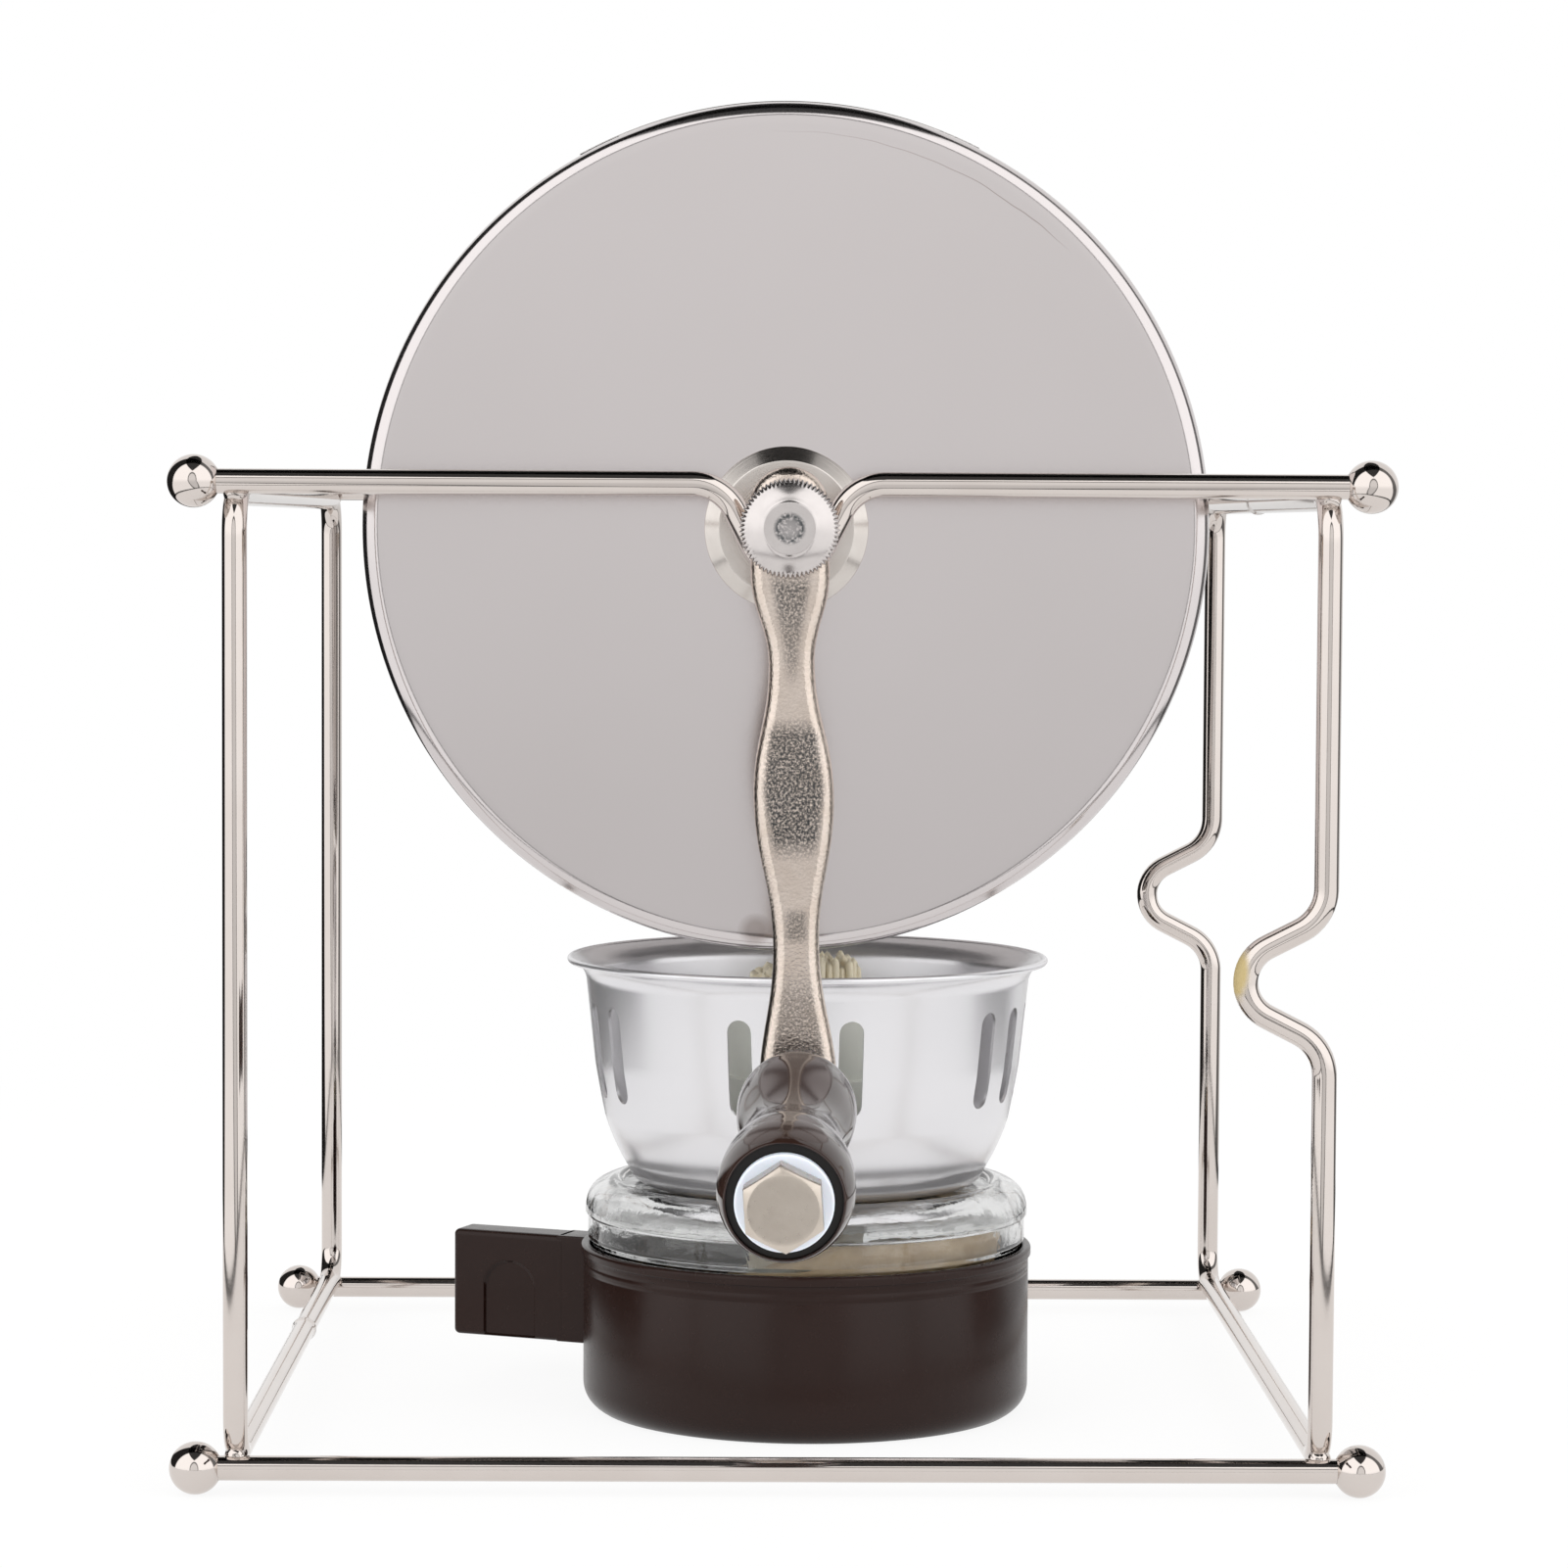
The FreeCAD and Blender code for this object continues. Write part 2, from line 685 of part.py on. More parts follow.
def build_crank():
    """Write the crank arm, the grip's bolt and its washers."""
    arm = arm_blank()
    front_edges = [edge for edge in arm.Edges if edge.BoundBox.YMax < -arm_t + arm_chamfer / 2]
    arm = arm.makeChamfer(arm_chamfer, front_edges)
    arm.translate(Vector(axle_x, arm_back_y, axle_z))
    arm = fused([arm, on_grip_axis(disc(boss_r, -arm_t / 2, boss_height))])
    hole = tang_side + 2 * tang_clearance
    socket = Part.makeBox(hole, arm_t, hole, Vector(axle_x - hole / 2, arm_front_y, axle_z - hole / 2))
    bolt_hole = on_grip_axis(disc(bolt_d / 2 + bolt_clearance, -2 * arm_t, arm_t))
    save("crank_arm", leaned(arm.cut([socket, bolt_hole])))
    washer = ring(washer_r, bolt_d / 2 + washer_bore_clearance, 0, washer_t)
    rear_washer_s = boss_height
    grip_s = rear_washer_s + washer_t + grip_end_play
    front_washer_s = grip_s + grip_length - grip_recess_depth + grip_end_play
    head_s = front_washer_s + washer_t
    rear_washer = washer.copy()
    rear_washer.translate(Vector(0, 0, rear_washer_s))
    front_washer = washer.copy()
    front_washer.translate(Vector(0, 0, front_washer_s))
    save("rear_knob_washer", leaned(on_grip_axis(rear_washer)))
    save("front_knob_washer", leaned(on_grip_axis(front_washer)))
    shank = disc(bolt_d / 2, bolt_tip_inset - arm_t, head_s)
    head = hex_head()
    head.translate(Vector(0, 0, head_s))
    save("knob_bolt", leaned(on_grip_axis(fused([shank, head]))))
    grip = grip_body()
    grip.translate(Vector(0, 0, grip_s))
    save("knob_grip", leaned(on_grip_axis(grip)))


def hex_head():
    """Return a chamfered hexagon head about Z, standing on height 0."""
    corner_r = hex_across / math.sqrt(3)
    corners = []
    for index in range(7):
        angle = math.radians(60 * index + 90)
        corners.append(Vector(corner_r * math.cos(angle), corner_r * math.sin(angle), 0))
    prism = Part.Face(Part.makePolygon(corners)).extrude(Vector(0, 0, hex_height))
    crown = turned((0, 0), [
        [(corner_r, 0)], [(corner_r, hex_height - hex_chamfer_height)],
        [(hex_chamfer_r, hex_height)], [(0, hex_height)]])
    return prism.common(crown)


def grip_body():
    """Return the waisted grip about Z from height 0, bored for its bolt and recessed in front."""
    bore = bolt_d / 2 + bolt_clearance
    rear_bulge = (grip_rear_bulge_r, grip_rear_bulge_s)
    waist = (grip_waist_r, grip_waist_s)
    front_bulge = (grip_front_bulge_r, grip_front_bulge_s)
    floor = grip_length - grip_recess_depth
    return turned((bore, 0), [
        [(grip_rear_r, 0)], arc_step((grip_rear_r, 0), rear_bulge, grip_rear_round),
        curve_step(rear_bulge, waist), curve_step(waist, front_bulge),
        arc_step(front_bulge, (grip_front_r, grip_length), grip_front_round),
        [(grip_recess_r, grip_length)], [(grip_recess_r, floor)], [(bore, floor)]])


# ---- Burner ----

def handle_tab():
    """Return the cup's flat handle with its arched recess and thinner root."""
    inner = cup_wall_r - cup_wall / 2
    root_end = cup_wall_r + tab_root_length
    plate = Part.makeBox(tab_reach - root_end, tab_t, tab_high_z - tab_low_z,
                         Vector(root_end, -tab_t / 2, tab_low_z))
    tip_edges = [edge for edge in plate.Edges if edge.BoundBox.XMin > tab_reach - tab_corner_r]
    tip_edges = [edge for edge in tip_edges if edge.BoundBox.YLength > tab_t / 2]
    plate = plate.makeFillet(tab_corner_r, tip_edges)
    arch_x = tab_reach - tab_recess_from_tip - tab_recess_width / 2
    arch_z = tab_high_z - tab_recess_top - tab_recess_width / 2
    slab = Part.makeBox(tab_recess_width, tab_recess_depth, arch_z - tab_low_z,
                        Vector(arch_x - tab_recess_width / 2, 0, tab_low_z))
    crown_at = Vector(arch_x, 0, arch_z)
    crown = Part.makeCylinder(tab_recess_width / 2, tab_recess_depth, crown_at, Vector(0, 1, 0))
    recess = fused([slab, crown])
    recess.translate(Vector(0, tab_t / 2 - tab_recess_depth, 0))
    root_at = Vector(inner, -tab_root_t / 2, tab_low_z)
    root = Part.makeBox(root_end - inner, tab_root_t, tab_high_z - tab_low_z, root_at)
    tab = fused([plate.cut(recess), root])
    tab.rotate(Vector(0, 0, 0), Vector(0, 0, 1), tab_angle)
    return tab


def burner_cup():
    """Return the moulded cup with its lip and handle."""
    lip_z = cup_height - cup_lip_height
    inner_r = cup_wall_r - cup_wall
    inner_base = (inner_r - (cup_wall_r - cup_base_r), cup_floor)
    inner_side = (inner_r, cup_floor + cup_base_round)
    shell = turned((0, 0), [
        [(cup_base_r, 0)], arc_step((cup_base_r, 0), (cup_wall_r, cup_base_round), base_bulge),
        [(cup_wall_r, lip_z)], [(cup_lip_r, lip_z)], [(cup_lip_r, cup_height)], [(inner_r, cup_height)],
        [inner_side], arc_step(inner_side, inner_base, -base_bulge), [(0, cup_floor)]])
    keep_out = disc(inner_r, cup_floor, cup_height)
    return fused([shell, handle_tab().cut(keep_out)])


def fuel_tank():
    """Return the thick glass tank: a lip over the cup, a rounded shoulder and a sunk top with a neck hole."""
    floor_z = cup_floor + tank_seat
    lip_z = cup_height + tank_lip_gap
    base = (tank_r - (cup_wall_r - cup_base_r), floor_z)
    side = (tank_r, floor_z + cup_base_round)
    shoulder = (tank_lip_r, tank_shoulder_z)
    crest = (tank_crest_r, tank_crest_z)
    inner_r = tank_r - tank_wall
    inner_top = (tank_seat_r, tank_seat_z - tank_wall)
    inner_side = (inner_r, inner_top[1] - (inner_r - tank_seat_r))
    return turned((0, floor_z), [
        [base], arc_step(base, side, base_bulge), [(tank_r, lip_z)],
        [(tank_lip_r, lip_z + tank_lip_flare)], [shoulder],
        arc_step(shoulder, crest, tank_shoulder_bulge),
        arc_step(crest, (tank_seat_r, tank_seat_z), tank_crest_bulge),
        [(tank_neck_r, tank_seat_z)], [(tank_neck_r, inner_top[1])], [inner_top],
        arc_step(inner_top, inner_side, -tank_inner_bulge),
        [(inner_r, floor_z + cup_base_round)], [(base[0] - tank_wall, floor_z + tank_wall)],
        [(0, floor_z + tank_wall)]])


def bowl_side(inset):
    """Return the points up one side of the windshield's wall, moved inward by inset, and their bulges."""
    points = [
        (tank_neck_r, tank_seat_z + shield_seat + inset), (shield_floor_r, tank_seat_z + shield_seat + inset),
        (shield_heel_r - inset, shield_heel_z), (shield_waist_r - inset, shield_waist_z),
        (shield_wall_r - inset, shield_wall_z), (shield_neck_r - inset, shield_neck_z),
        (shield_rim_r - inset, shield_rim_z)]
    return points, [0, shield_heel_bulge, shield_side_bulge, 0, 0, -shield_rim_bulge]


def walked(points, bulges):
    """Return the steps along points, straight where the bulge is zero."""
    steps = []
    for start, end, bulge in zip(points, points[1:], bulges):
        steps.append(arc_step(start, end, bulge) if bulge else [end])
    return steps


def windshield():
    """Return the spun bowl with its turned-out rim and its groups of upright slots."""
    outer, bulges = bowl_side(0)
    inner = list(reversed(bowl_side(shield_sheet)[0]))
    inner_bulges = [-bulge for bulge in reversed(bulges)]
    bowl = turned(outer[0], walked(outer, bulges) + [[inner[0]]] + walked(inner, inner_bulges))
    bead_r = shield_rim_r - shield_rim_bead / 2
    bead = Part.makeTorus(bead_r, shield_rim_bead, Vector(0, 0, shield_rim_z))
    return fused([bowl, bead]).cut(slot_cutters())


def slot_cutters():
    """Return one upright round-ended cutter for each slot."""
    cutters = []
    low = slot_low_z + slot_width / 2
    high = slot_high_z - slot_width / 2
    inner = shield_wall_r - slot_width
    reach = shield_neck_r - inner + slot_width
    for group in range(slot_groups):
        for place in range(slots_per_group):
            offset = (place - (slots_per_group - 1) / 2) * slot_pitch
            angle = slot_group_angle + group * 360 / slot_groups + offset
            slab = Part.makeBox(slot_width, reach, high - low, Vector(-slot_width / 2, -inner - reach, low))
            ends = [Part.makeCylinder(slot_width / 2, reach, Vector(0, -inner - reach, z), Vector(0, 1, 0))
                    for z in (low, high)]
            cutter = fused([slab] + ends)
            cutter.rotate(Vector(0, 0, 0), Vector(0, 0, 1), angle)
            cutters.append(cutter)
    return cutters


def wick_holder(flange_z):
    """Return the tube that hangs in the tank's neck, with its flange and the wide head above it."""
    bore_r = holder_tube_r - holder_wall
    head_inner_r = holder_head_r - holder_wall
    flange_top = flange_z + holder_flange_t
    head_inner_z = holder_high_z - holder_wall
    return turned((bore_r, holder_low_z), [
        [(holder_tube_r, holder_low_z)], [(holder_tube_r, flange_z)], [(holder_flange_r, flange_z)],
        [(holder_flange_r, flange_top)], [(holder_collar_r, flange_top)], [(holder_collar_r, holder_collar_z)],
        [(holder_head_r, holder_collar_z)], [(holder_head_r, holder_high_z)], [(bore_r, holder_high_z)],
        [(bore_r, head_inner_z)], [(head_inner_r, head_inner_z)], [(head_inner_r, flange_top)],
        [(bore_r, flange_top)]])


def build_burner():
    """Write the burner's nodes."""
    save("burner_cup", burner_cup())
    save("fuel_tank", fuel_tank())
    save("windshield", windshield())
    flange_z = tank_seat_z + shield_seat + shield_sheet + holder_seat
    save("wick_holder", wick_holder(flange_z))
    wick_r = holder_tube_r - holder_wall - wick_clearance
    foot_z = cup_floor + tank_seat + tank_wall + wick_foot_gap
    spread = (wick_spread_r, wick_spread_z)
    wick = turned((0, foot_z), [
        [(wick_r, foot_z)], [(wick_r, wick_neck_z)], [spread],
        arc_step(spread, (wick_top_r, wick_top_z), wick_top_bulge), [(0, wick_top_z)]])
    save("wick", wick)
    coil = ring(coil_outer_r, coil_inner_r, foot_z, coil_top_z)
    rims = [edge for edge in coil.Edges if edge.Length > coil_edge_r * 4]
    rims = [edge for edge in rims if edge.BoundBox.ZLength < coil_edge_r]
    save("wick_coil", coil.makeFillet(coil_edge_r, rims))


os.makedirs("parts", exist_ok=True)
build_stand()
build_bushes()
build_drum()
build_hatch()
build_axle()
build_crank()
build_burner()

print("nodes", len(nodes))
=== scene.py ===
import logging
import math
from dataclasses import dataclass
from enum import Enum
from typing import Callable, Iterable, Optional, Sequence

import bpy
from bpy.types import Material, Node, NodeSocket, NodeTree, Object
import numpy as np
from mathutils import Matrix


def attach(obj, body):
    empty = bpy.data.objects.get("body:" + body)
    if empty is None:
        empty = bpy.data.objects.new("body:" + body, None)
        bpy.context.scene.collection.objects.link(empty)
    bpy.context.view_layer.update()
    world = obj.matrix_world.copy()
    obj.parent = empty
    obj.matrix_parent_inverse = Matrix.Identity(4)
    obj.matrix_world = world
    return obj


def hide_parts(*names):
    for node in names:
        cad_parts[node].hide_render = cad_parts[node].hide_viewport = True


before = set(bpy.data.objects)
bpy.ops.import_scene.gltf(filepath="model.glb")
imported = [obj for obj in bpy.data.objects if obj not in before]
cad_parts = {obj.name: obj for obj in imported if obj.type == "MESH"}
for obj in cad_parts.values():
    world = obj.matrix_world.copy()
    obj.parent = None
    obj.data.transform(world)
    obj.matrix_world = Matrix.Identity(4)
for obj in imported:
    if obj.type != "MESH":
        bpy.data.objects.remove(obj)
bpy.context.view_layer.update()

log = logging.getLogger("coffee_roaster")
MM = 0.001
Array = np.ndarray
Two = tuple[float, float]
Three = tuple[float, float, float]
Marks = dict[str, Callable[[Array], Array]]


class Body(Enum):
    """The moving bodies that pieces ride on."""

    FRAME = "frame"
    BUSHES = "saddle_bushes"
    DRUM = "drum"
    HATCH = "hatch"
    KNOB = "knob"
    BURNER = "burner"
    WINDSHIELD = "windshield"


@dataclass(frozen=True)
class Layout:
    """Places that several sub-assemblies share, in millimetres."""

    left_x: float = -109.0
    right_x: float = 96.0
    front_y: float = -92.0
    rear_y: float = 113.0
    middle_x: float = -6.5
    middle_y: float = 10.5
    axle_x: float = -5.5
    axle_z: float = 182.7
    drum_front_y: float = -54.0
    drum_rear_y: float = 75.0
    arm_back_y: float = -98.5
    arm_front_y: float = -105.5
    crank_lean: float = 1.25
    bore_r: float = 4.05


LAYOUT = Layout()


# ---- Surfaces ----

@dataclass(frozen=True)
class Surface:
    """A mesh as arrays: points (n, 3) in millimetres and quads (m, 4) of point numbers."""

    points: Array
    quads: Array


def grid_surface(points: Array, wrap_rows: bool = False, wrap_columns: bool = False) -> Surface:
    """Join a grid of points by quads.

    Args:
        points: Array of (rows, columns, 3).
        wrap_rows: Whether the last row joins the first.
        wrap_columns: Whether the last column joins the first.

    Returns:
        The surface.
    """
    rows, columns = points.shape[:2]
    index = np.arange(rows * columns).reshape(rows, columns)
    if wrap_rows:
        index = np.vstack([index, index[:1]])
    if wrap_columns:
        index = np.hstack([index, index[:, :1]])
    quads = np.stack([index[:-1, :-1], index[1:, :-1], index[1:, 1:], index[:-1, 1:]], axis=-1)
    return Surface(points.reshape(-1, 3), quads.reshape(-1, 4))


def outward(surface: Surface) -> Surface:
    """Turn the quads of a closed surface outwards.

    Six times the enclosed volume is the sum of a . (b x c) over the triangles, and it is negative
    where the quads point inwards.
    """
    a, b, c, d = surface.points[surface.quads.T]
    volume = np.sum(a * np.cross(b, c)) + np.sum(a * np.cross(c, d))
    return surface if volume > 0 else Surface(surface.points, surface.quads[:, ::-1])


def joined(surfaces: Iterable[Surface]) -> Surface:
    """Put several surfaces into one."""
    surfaces = list(surfaces)
    starts = np.cumsum([0] + [len(surface.points) for surface in surfaces[:-1]])
    return Surface(np.vstack([surface.points for surface in surfaces]),
                   np.vstack([surface.quads + start for surface, start in zip(surfaces, starts)]))


def moved(surface: Surface, offset: Sequence[float]) -> Surface:
    """Shift a surface by an offset."""
    return Surface(surface.points + np.asarray(offset, float), surface.quads)


def turned(surface: Surface, matrix: Array) -> Surface:
    """Turn a surface about the origin by a 3 x 3 matrix."""
    return Surface(surface.points @ matrix.T, surface.quads)


def about(axis: str, degrees: float) -> Array:
    """Return the turn about X, Y or Z."""
    return np.array(Matrix.Rotation(math.radians(degrees), 3, axis))


def leaned(surface: Surface) -> Surface:
    """Turn a piece of the drum about the axle by the crank's lean."""
    centre = np.array([LAYOUT.axle_x, 0, LAYOUT.axle_z])
    return moved(turned(moved(surface, -centre), about("Y", -LAYOUT.crank_lean)), centre)


def on_axle(surface: Surface, at_y: float, backwards: bool = False) -> Surface:
    """Lay a surface made about Z along the axle, its top towards the user, or away from them."""
    laid = turned(surface, about("X", -90 if backwards else 90))
    return leaned(moved(laid, (LAYOUT.axle_x, at_y, LAYOUT.axle_z)))


def turns(count: int) -> Array:
    """Return equal steps round a circle, in radians."""
    return np.linspace(0, 2 * math.pi, count, endpoint=False)


def unit(vectors: Array) -> Array:
    """Return vectors divided by their lengths."""
    return vectors / np.linalg.norm(vectors, axis=-1, keepdims=True)


def around(radius: Array | float, turn: Array, height: Array | float) -> Array:
    """Return the points (r cos t, r sin t, h) of arrays that fit together."""
    return np.stack(np.broadcast_arrays(radius * np.cos(turn), radius * np.sin(turn), height), axis=-1)


def rounded(corners: Sequence[Sequence[float]], radii: Sequence[float] | float, steps: int = 6,
            closed: bool = False) -> Array:
    """Round the corners of a polyline.

    The arc at a corner starts radius / tan(half angle) before it. Its points are a slerp of the
    two radii about its centre. A point is kept just outside each end of an arc, so that the flat
    next to it stays flat.

    Args:
        corners: The corners, in 2 or 3 dimensions.
        radii: One radius, or one for each corner; 0 keeps the corner.
        steps: Points along each arc.
        closed: Whether the last corner joins the first.

    Returns:
        The points of the rounded line.
    """
    corner = np.asarray(corners, float)
    count = len(corner)
    radius = np.broadcast_to(np.asarray(radii, float), (count,)).copy()
    if not closed:
        radius[[0, -1]] = 0
    pieces = []
    for k in range(count):
        if radius[k] == 0:
            pieces.append(corner[k:k + 1])
            continue
        back = corner[k - 1] - corner[k]
        ahead = corner[(k + 1) % count] - corner[k]
        back_length, ahead_length = np.linalg.norm(back), np.linalg.norm(ahead)
        back, ahead = back / back_length, ahead / ahead_length
        half = math.acos(np.clip(back @ ahead, -1, 1)) / 2
        reach = radius[k] / math.tan(half)
        bisector = (back + ahead) / np.linalg.norm(back + ahead)
        centre = corner[k] + bisector * radius[k] / math.sin(half)
        first, last = corner[k] + back * reach - centre, corner[k] + ahead * reach - centre
        sweep = math.pi - 2 * half
        share = np.linspace(0, 1, steps + 1)[:, None]
        arc = centre + (np.sin((1 - share) * sweep) * first + np.sin(share * sweep) * last) / math.sin(sweep)
        hold = min(radius[k] * 0.3, (back_length - reach) * 0.4, (ahead_length - reach) * 0.4)
        if hold > 1e-4:
            arc = np.vstack([arc[:1] + back * hold, arc, arc[-1:] + ahead * hold])
        pieces.append(arc)
    return np.vstack(pieces)


def arc_between(start: Sequence[float], end: Sequence[float], bulge: float, steps: int = 10) -> Array:
    """Return a parabola from start to end that stands off the chord, to its right, by bulge of it."""
    start, end = np.asarray(start, float), np.asarray(end, float)
    share = np.linspace(0, 1, steps + 1)[:, None]
    off = np.array([end[1] - start[1], start[0] - end[0]]) * bulge
    return start + (end - start) * share + 4 * off * share * (1 - share)


def eased(start: Sequence[float], end: Sequence[float], handle: float = 0.42, steps: int = 14) -> Array:
    """Return the cubic curve between two (across, along) stations whose ends run along the second axis."""
    start, end = np.asarray(start, float), np.asarray(end, float)
    reach = np.array([0, (end[1] - start[1]) * handle])
    share = np.linspace(0, 1, steps + 1)[:, None]
    return ((1 - share) ** 3 * start + 3 * (1 - share) ** 2 * share * (start + reach)
            + 3 * (1 - share) * share ** 2 * (end - reach) + share ** 3 * end)


Pair = tuple[Array, Array]
Swell = Callable[[Array, Array, Array], Pair]


def lathe(profile: Array, segments: int = 160, swell: Optional[Swell] = None) -> Surface:
    """Return the closed surface that a closed (radius, height) profile makes about Z.

    The point at turn t is (r cos t, r sin t, h).

    Args:
        profile: Array of (n, 2); a point on the axis becomes a closed pole.
        segments: Steps round the axis.
        swell: Function of radius (n, 1), height (n, 1) and turn (1, m) that gives new ones.

    Returns:
        The surface, its faces outwards.
    """
    turn = turns(segments)[None, :]
    radius, height = profile[:, :1], profile[:, 1:]
    if swell is not None:
        radius, height = swell(radius, height, turn)
    return outward(grid_surface(around(radius, turn, height), True, True))


def ring(outer_r: float, inner_r: float, low: float, high: float, edge: float = 0.25) -> Surface:
    """Return a turned ring about Z with rounded edges."""
    corners = [(inner_r, low), (outer_r, low), (outer_r, high), (inner_r, high)]
    return lathe(rounded(corners, edge, 4, closed=True), 96)


def rod(path: Array, across: Sequence[float], radius: float, closed: bool = False, edge: float = 0.7,
        spacing: float = 1.0, bead: Optional[Two] = None) -> Surface:
    """Return a round rod along a path.

    A point of it is path(s) + r(s) (cos t side + sin t over), where side is the unit vector along
    across x tangent, and over = tangent x side. At an open end, r falls as a quarter circle of the
    edge's radius, and a bead adds a bell curve to r.

    Args:
        path: Points of the centre line.
        across: Direction that no part of the path follows.
        radius: The rod's radius.
        closed: Whether the rod is an endless loop.
        edge: Rounding of the open ends.
        spacing: Distance between the rings of points.
        bead: Height and half width of the butt weld where an endless loop starts.

    Returns:
        The surface.
    """
    if closed:
        path = np.vstack([path, path[:1]])
    along = np.concatenate([[0], np.cumsum(np.linalg.norm(np.diff(path, axis=0), axis=1))])
    total = along[-1]
    place = np.linspace(0, total, int(total / spacing) + 2)
    if closed:
        place = place[:-1]
    else:
        fine = edge * (1 - np.cos(np.linspace(0, math.pi / 2, 6)))
        inner = place[(place > edge * 1.2) & (place < total - edge * 1.2)]
        place = np.concatenate([fine, inner, total - fine[::-1]])
    centre = np.stack([np.interp(place, along, path[:, k]) for k in range(3)], axis=-1)
    tangent = unit(np.roll(centre, -1, axis=0) - np.roll(centre, 1, axis=0) if closed
                   else np.gradient(centre, place, axis=0))
    size = np.full(len(place), float(radius))
    if not closed:
        near = np.minimum(np.minimum(place, total - place), edge)
        size = radius - edge + np.sqrt(edge ** 2 - (edge - near) ** 2)
    if bead is not None:
        size = size + bead[0] * np.exp(-(np.minimum(place, total - place) / bead[1]) ** 2)
    side = unit(np.cross(np.asarray(across, float), tangent))
    over = np.cross(tangent, side)
    turn = turns(28)[None, :, None]
    points = centre[:, None, :] + size[:, None, None] * (
        np.cos(turn) * side[:, None, :] + np.sin(turn) * over[:, None, :])
    if not closed:
        points = np.concatenate([np.broadcast_to(centre[0], points[:1].shape), points,
                                 np.broadcast_to(centre[-1], points[:1].shape)])
    return outward(grid_surface(points, closed, True))


def rounded_block(half: Sequence[float], edge: float, counts: Sequence[int]) -> Surface:
    """Return a box about the origin with rounded edges.

    Each point p of a box's gridded sides is drawn to q + edge (p - q) / |p - q|, where q is p held
    inside the box that is smaller by the edge's radius.

    Args:
        half: Half of the box's three sizes.
        edge: The edges' radius.
        counts: Steps along each flat.

    Returns:
        The surface.
    """
    half = np.asarray(half, float)
    bend = np.tan(np.linspace(0, math.pi / 4, 5)) * edge
    lines = []
    for size, count in zip(half, counts):
        flat = np.linspace(-(size - edge), size - edge, count + 1)
        lines.append(np.concatenate([-(size - edge) - bend[:0:-1], flat, size - edge + bend[1:]]))
    sides = []
    for axis in range(3):
        first, second = [k for k in range(3) if k != axis]
        a, b = np.meshgrid(lines[first], lines[second], indexing="ij")
        for sign in (-1, 1):
            points = np.empty(a.shape + (3,))
            points[..., axis], points[..., first], points[..., second] = sign * half[axis], a, b
            side = grid_surface(points)
            flip = (sign > 0) == (axis == 1)
            sides.append(Surface(side.points, side.quads[:, ::-1] if not flip else side.quads))
    whole = joined(sides)
    core = np.clip(whole.points, -(half - edge), half - edge)
    away = whole.points - core
    length = np.linalg.norm(away, axis=1, keepdims=True)
    return outward(Surface(core + edge * away / np.maximum(length, 1e-9), whole.quads))


def bent_block(inner_r: float, outer_r: float, low_y: float, high_y: float, middle: float,
               half_angle: float, edge: float = 0.2) -> Surface:
    """Return a rounded block that is bent about the drum's axle.

    A straight block's first axis becomes the radius, its second runs along the axle, and its third
    divided by the middle radius becomes the turn: (r cos t, y, r sin t).
    """
    middle_r = (inner_r + outer_r) / 2
    length = math.radians(half_angle) * middle_r
    block = rounded_block(((outer_r - inner_r) / 2, (high_y - low_y) / 2, length), edge,
                          (1, 2, max(2, int(half_angle * 2))))
    radius = block.points[:, 0] + middle_r
    turn = block.points[:, 2] / middle_r + math.radians(middle)
    along = block.points[:, 1] + (low_y + high_y) / 2 + LAYOUT.middle_y
    bent = Surface(np.stack([radius * np.cos(turn), along, radius * np.sin(turn)], axis=-1), block.quads)
    return leaned(outward(moved(bent, (LAYOUT.axle_x, 0, LAYOUT.axle_z))))


def merged(surface: Surface) -> Surface:
    """Give points that coincide within a ten-thousandth of a millimetre one number."""
    keys = np.rint(surface.points * 1e4).astype(np.int64)
    _, first, back = np.unique(keys, axis=0, return_index=True, return_inverse=True)
    return Surface(surface.points[first], back.reshape(-1)[surface.quads])


def faces_of(surface: Surface) -> list[list[int]]:
    """Return the faces: quads, and triangles where a quad has two corners in one place."""
    same = surface.quads == np.roll(surface.quads, -1, axis=1)
    faces = surface.quads[~same.any(axis=1)].tolist()
    for k in range(4):
        once = same[:, k] & (same.sum(axis=1) == 1)
        faces += np.delete(surface.quads[once], k, axis=1).tolist()
    return faces


def thickened(skin: Surface, behind: Callable[[Array], Array]) -> Surface:
    """Close an open skin with a second one behind it.

    An edge that only one quad uses lies on the rim, and there a quad joins the two skins.

    Args:
        skin: The first skin.
        behind: Function of its points that gives the second skin's points.

    Returns:
        The closed surface.
    """
    skin = merged(skin)
    count = len(skin.points)
    directed = np.stack([skin.quads, np.roll(skin.quads, -1, axis=1)], axis=-1).reshape(-1, 2)
    _, where, uses = np.unique(np.sort(directed, axis=1), axis=0, return_index=True, return_counts=True)
    rim = directed[where[uses == 1]]
    sides = np.column_stack([rim[:, 1], rim[:, 0], rim[:, 0] + count, rim[:, 1] + count])
    return outward(Surface(np.vstack([skin.points, behind(skin.points)]),
                           np.vstack([skin.quads, skin.quads[:, ::-1] + count, sides])))


# ---- Materials ----

def linear(colour: str) -> tuple[float, float, float, float]:
    """Turn an sRGB hex colour into linear light."""
    parts = [int(colour[k:k + 2], 16) / 255 for k in (1, 3, 5)]
    return (*(c / 12.92 if c <= 0.04045 else ((c + 0.055) / 1.055) ** 2.4 for c in parts), 1.0)


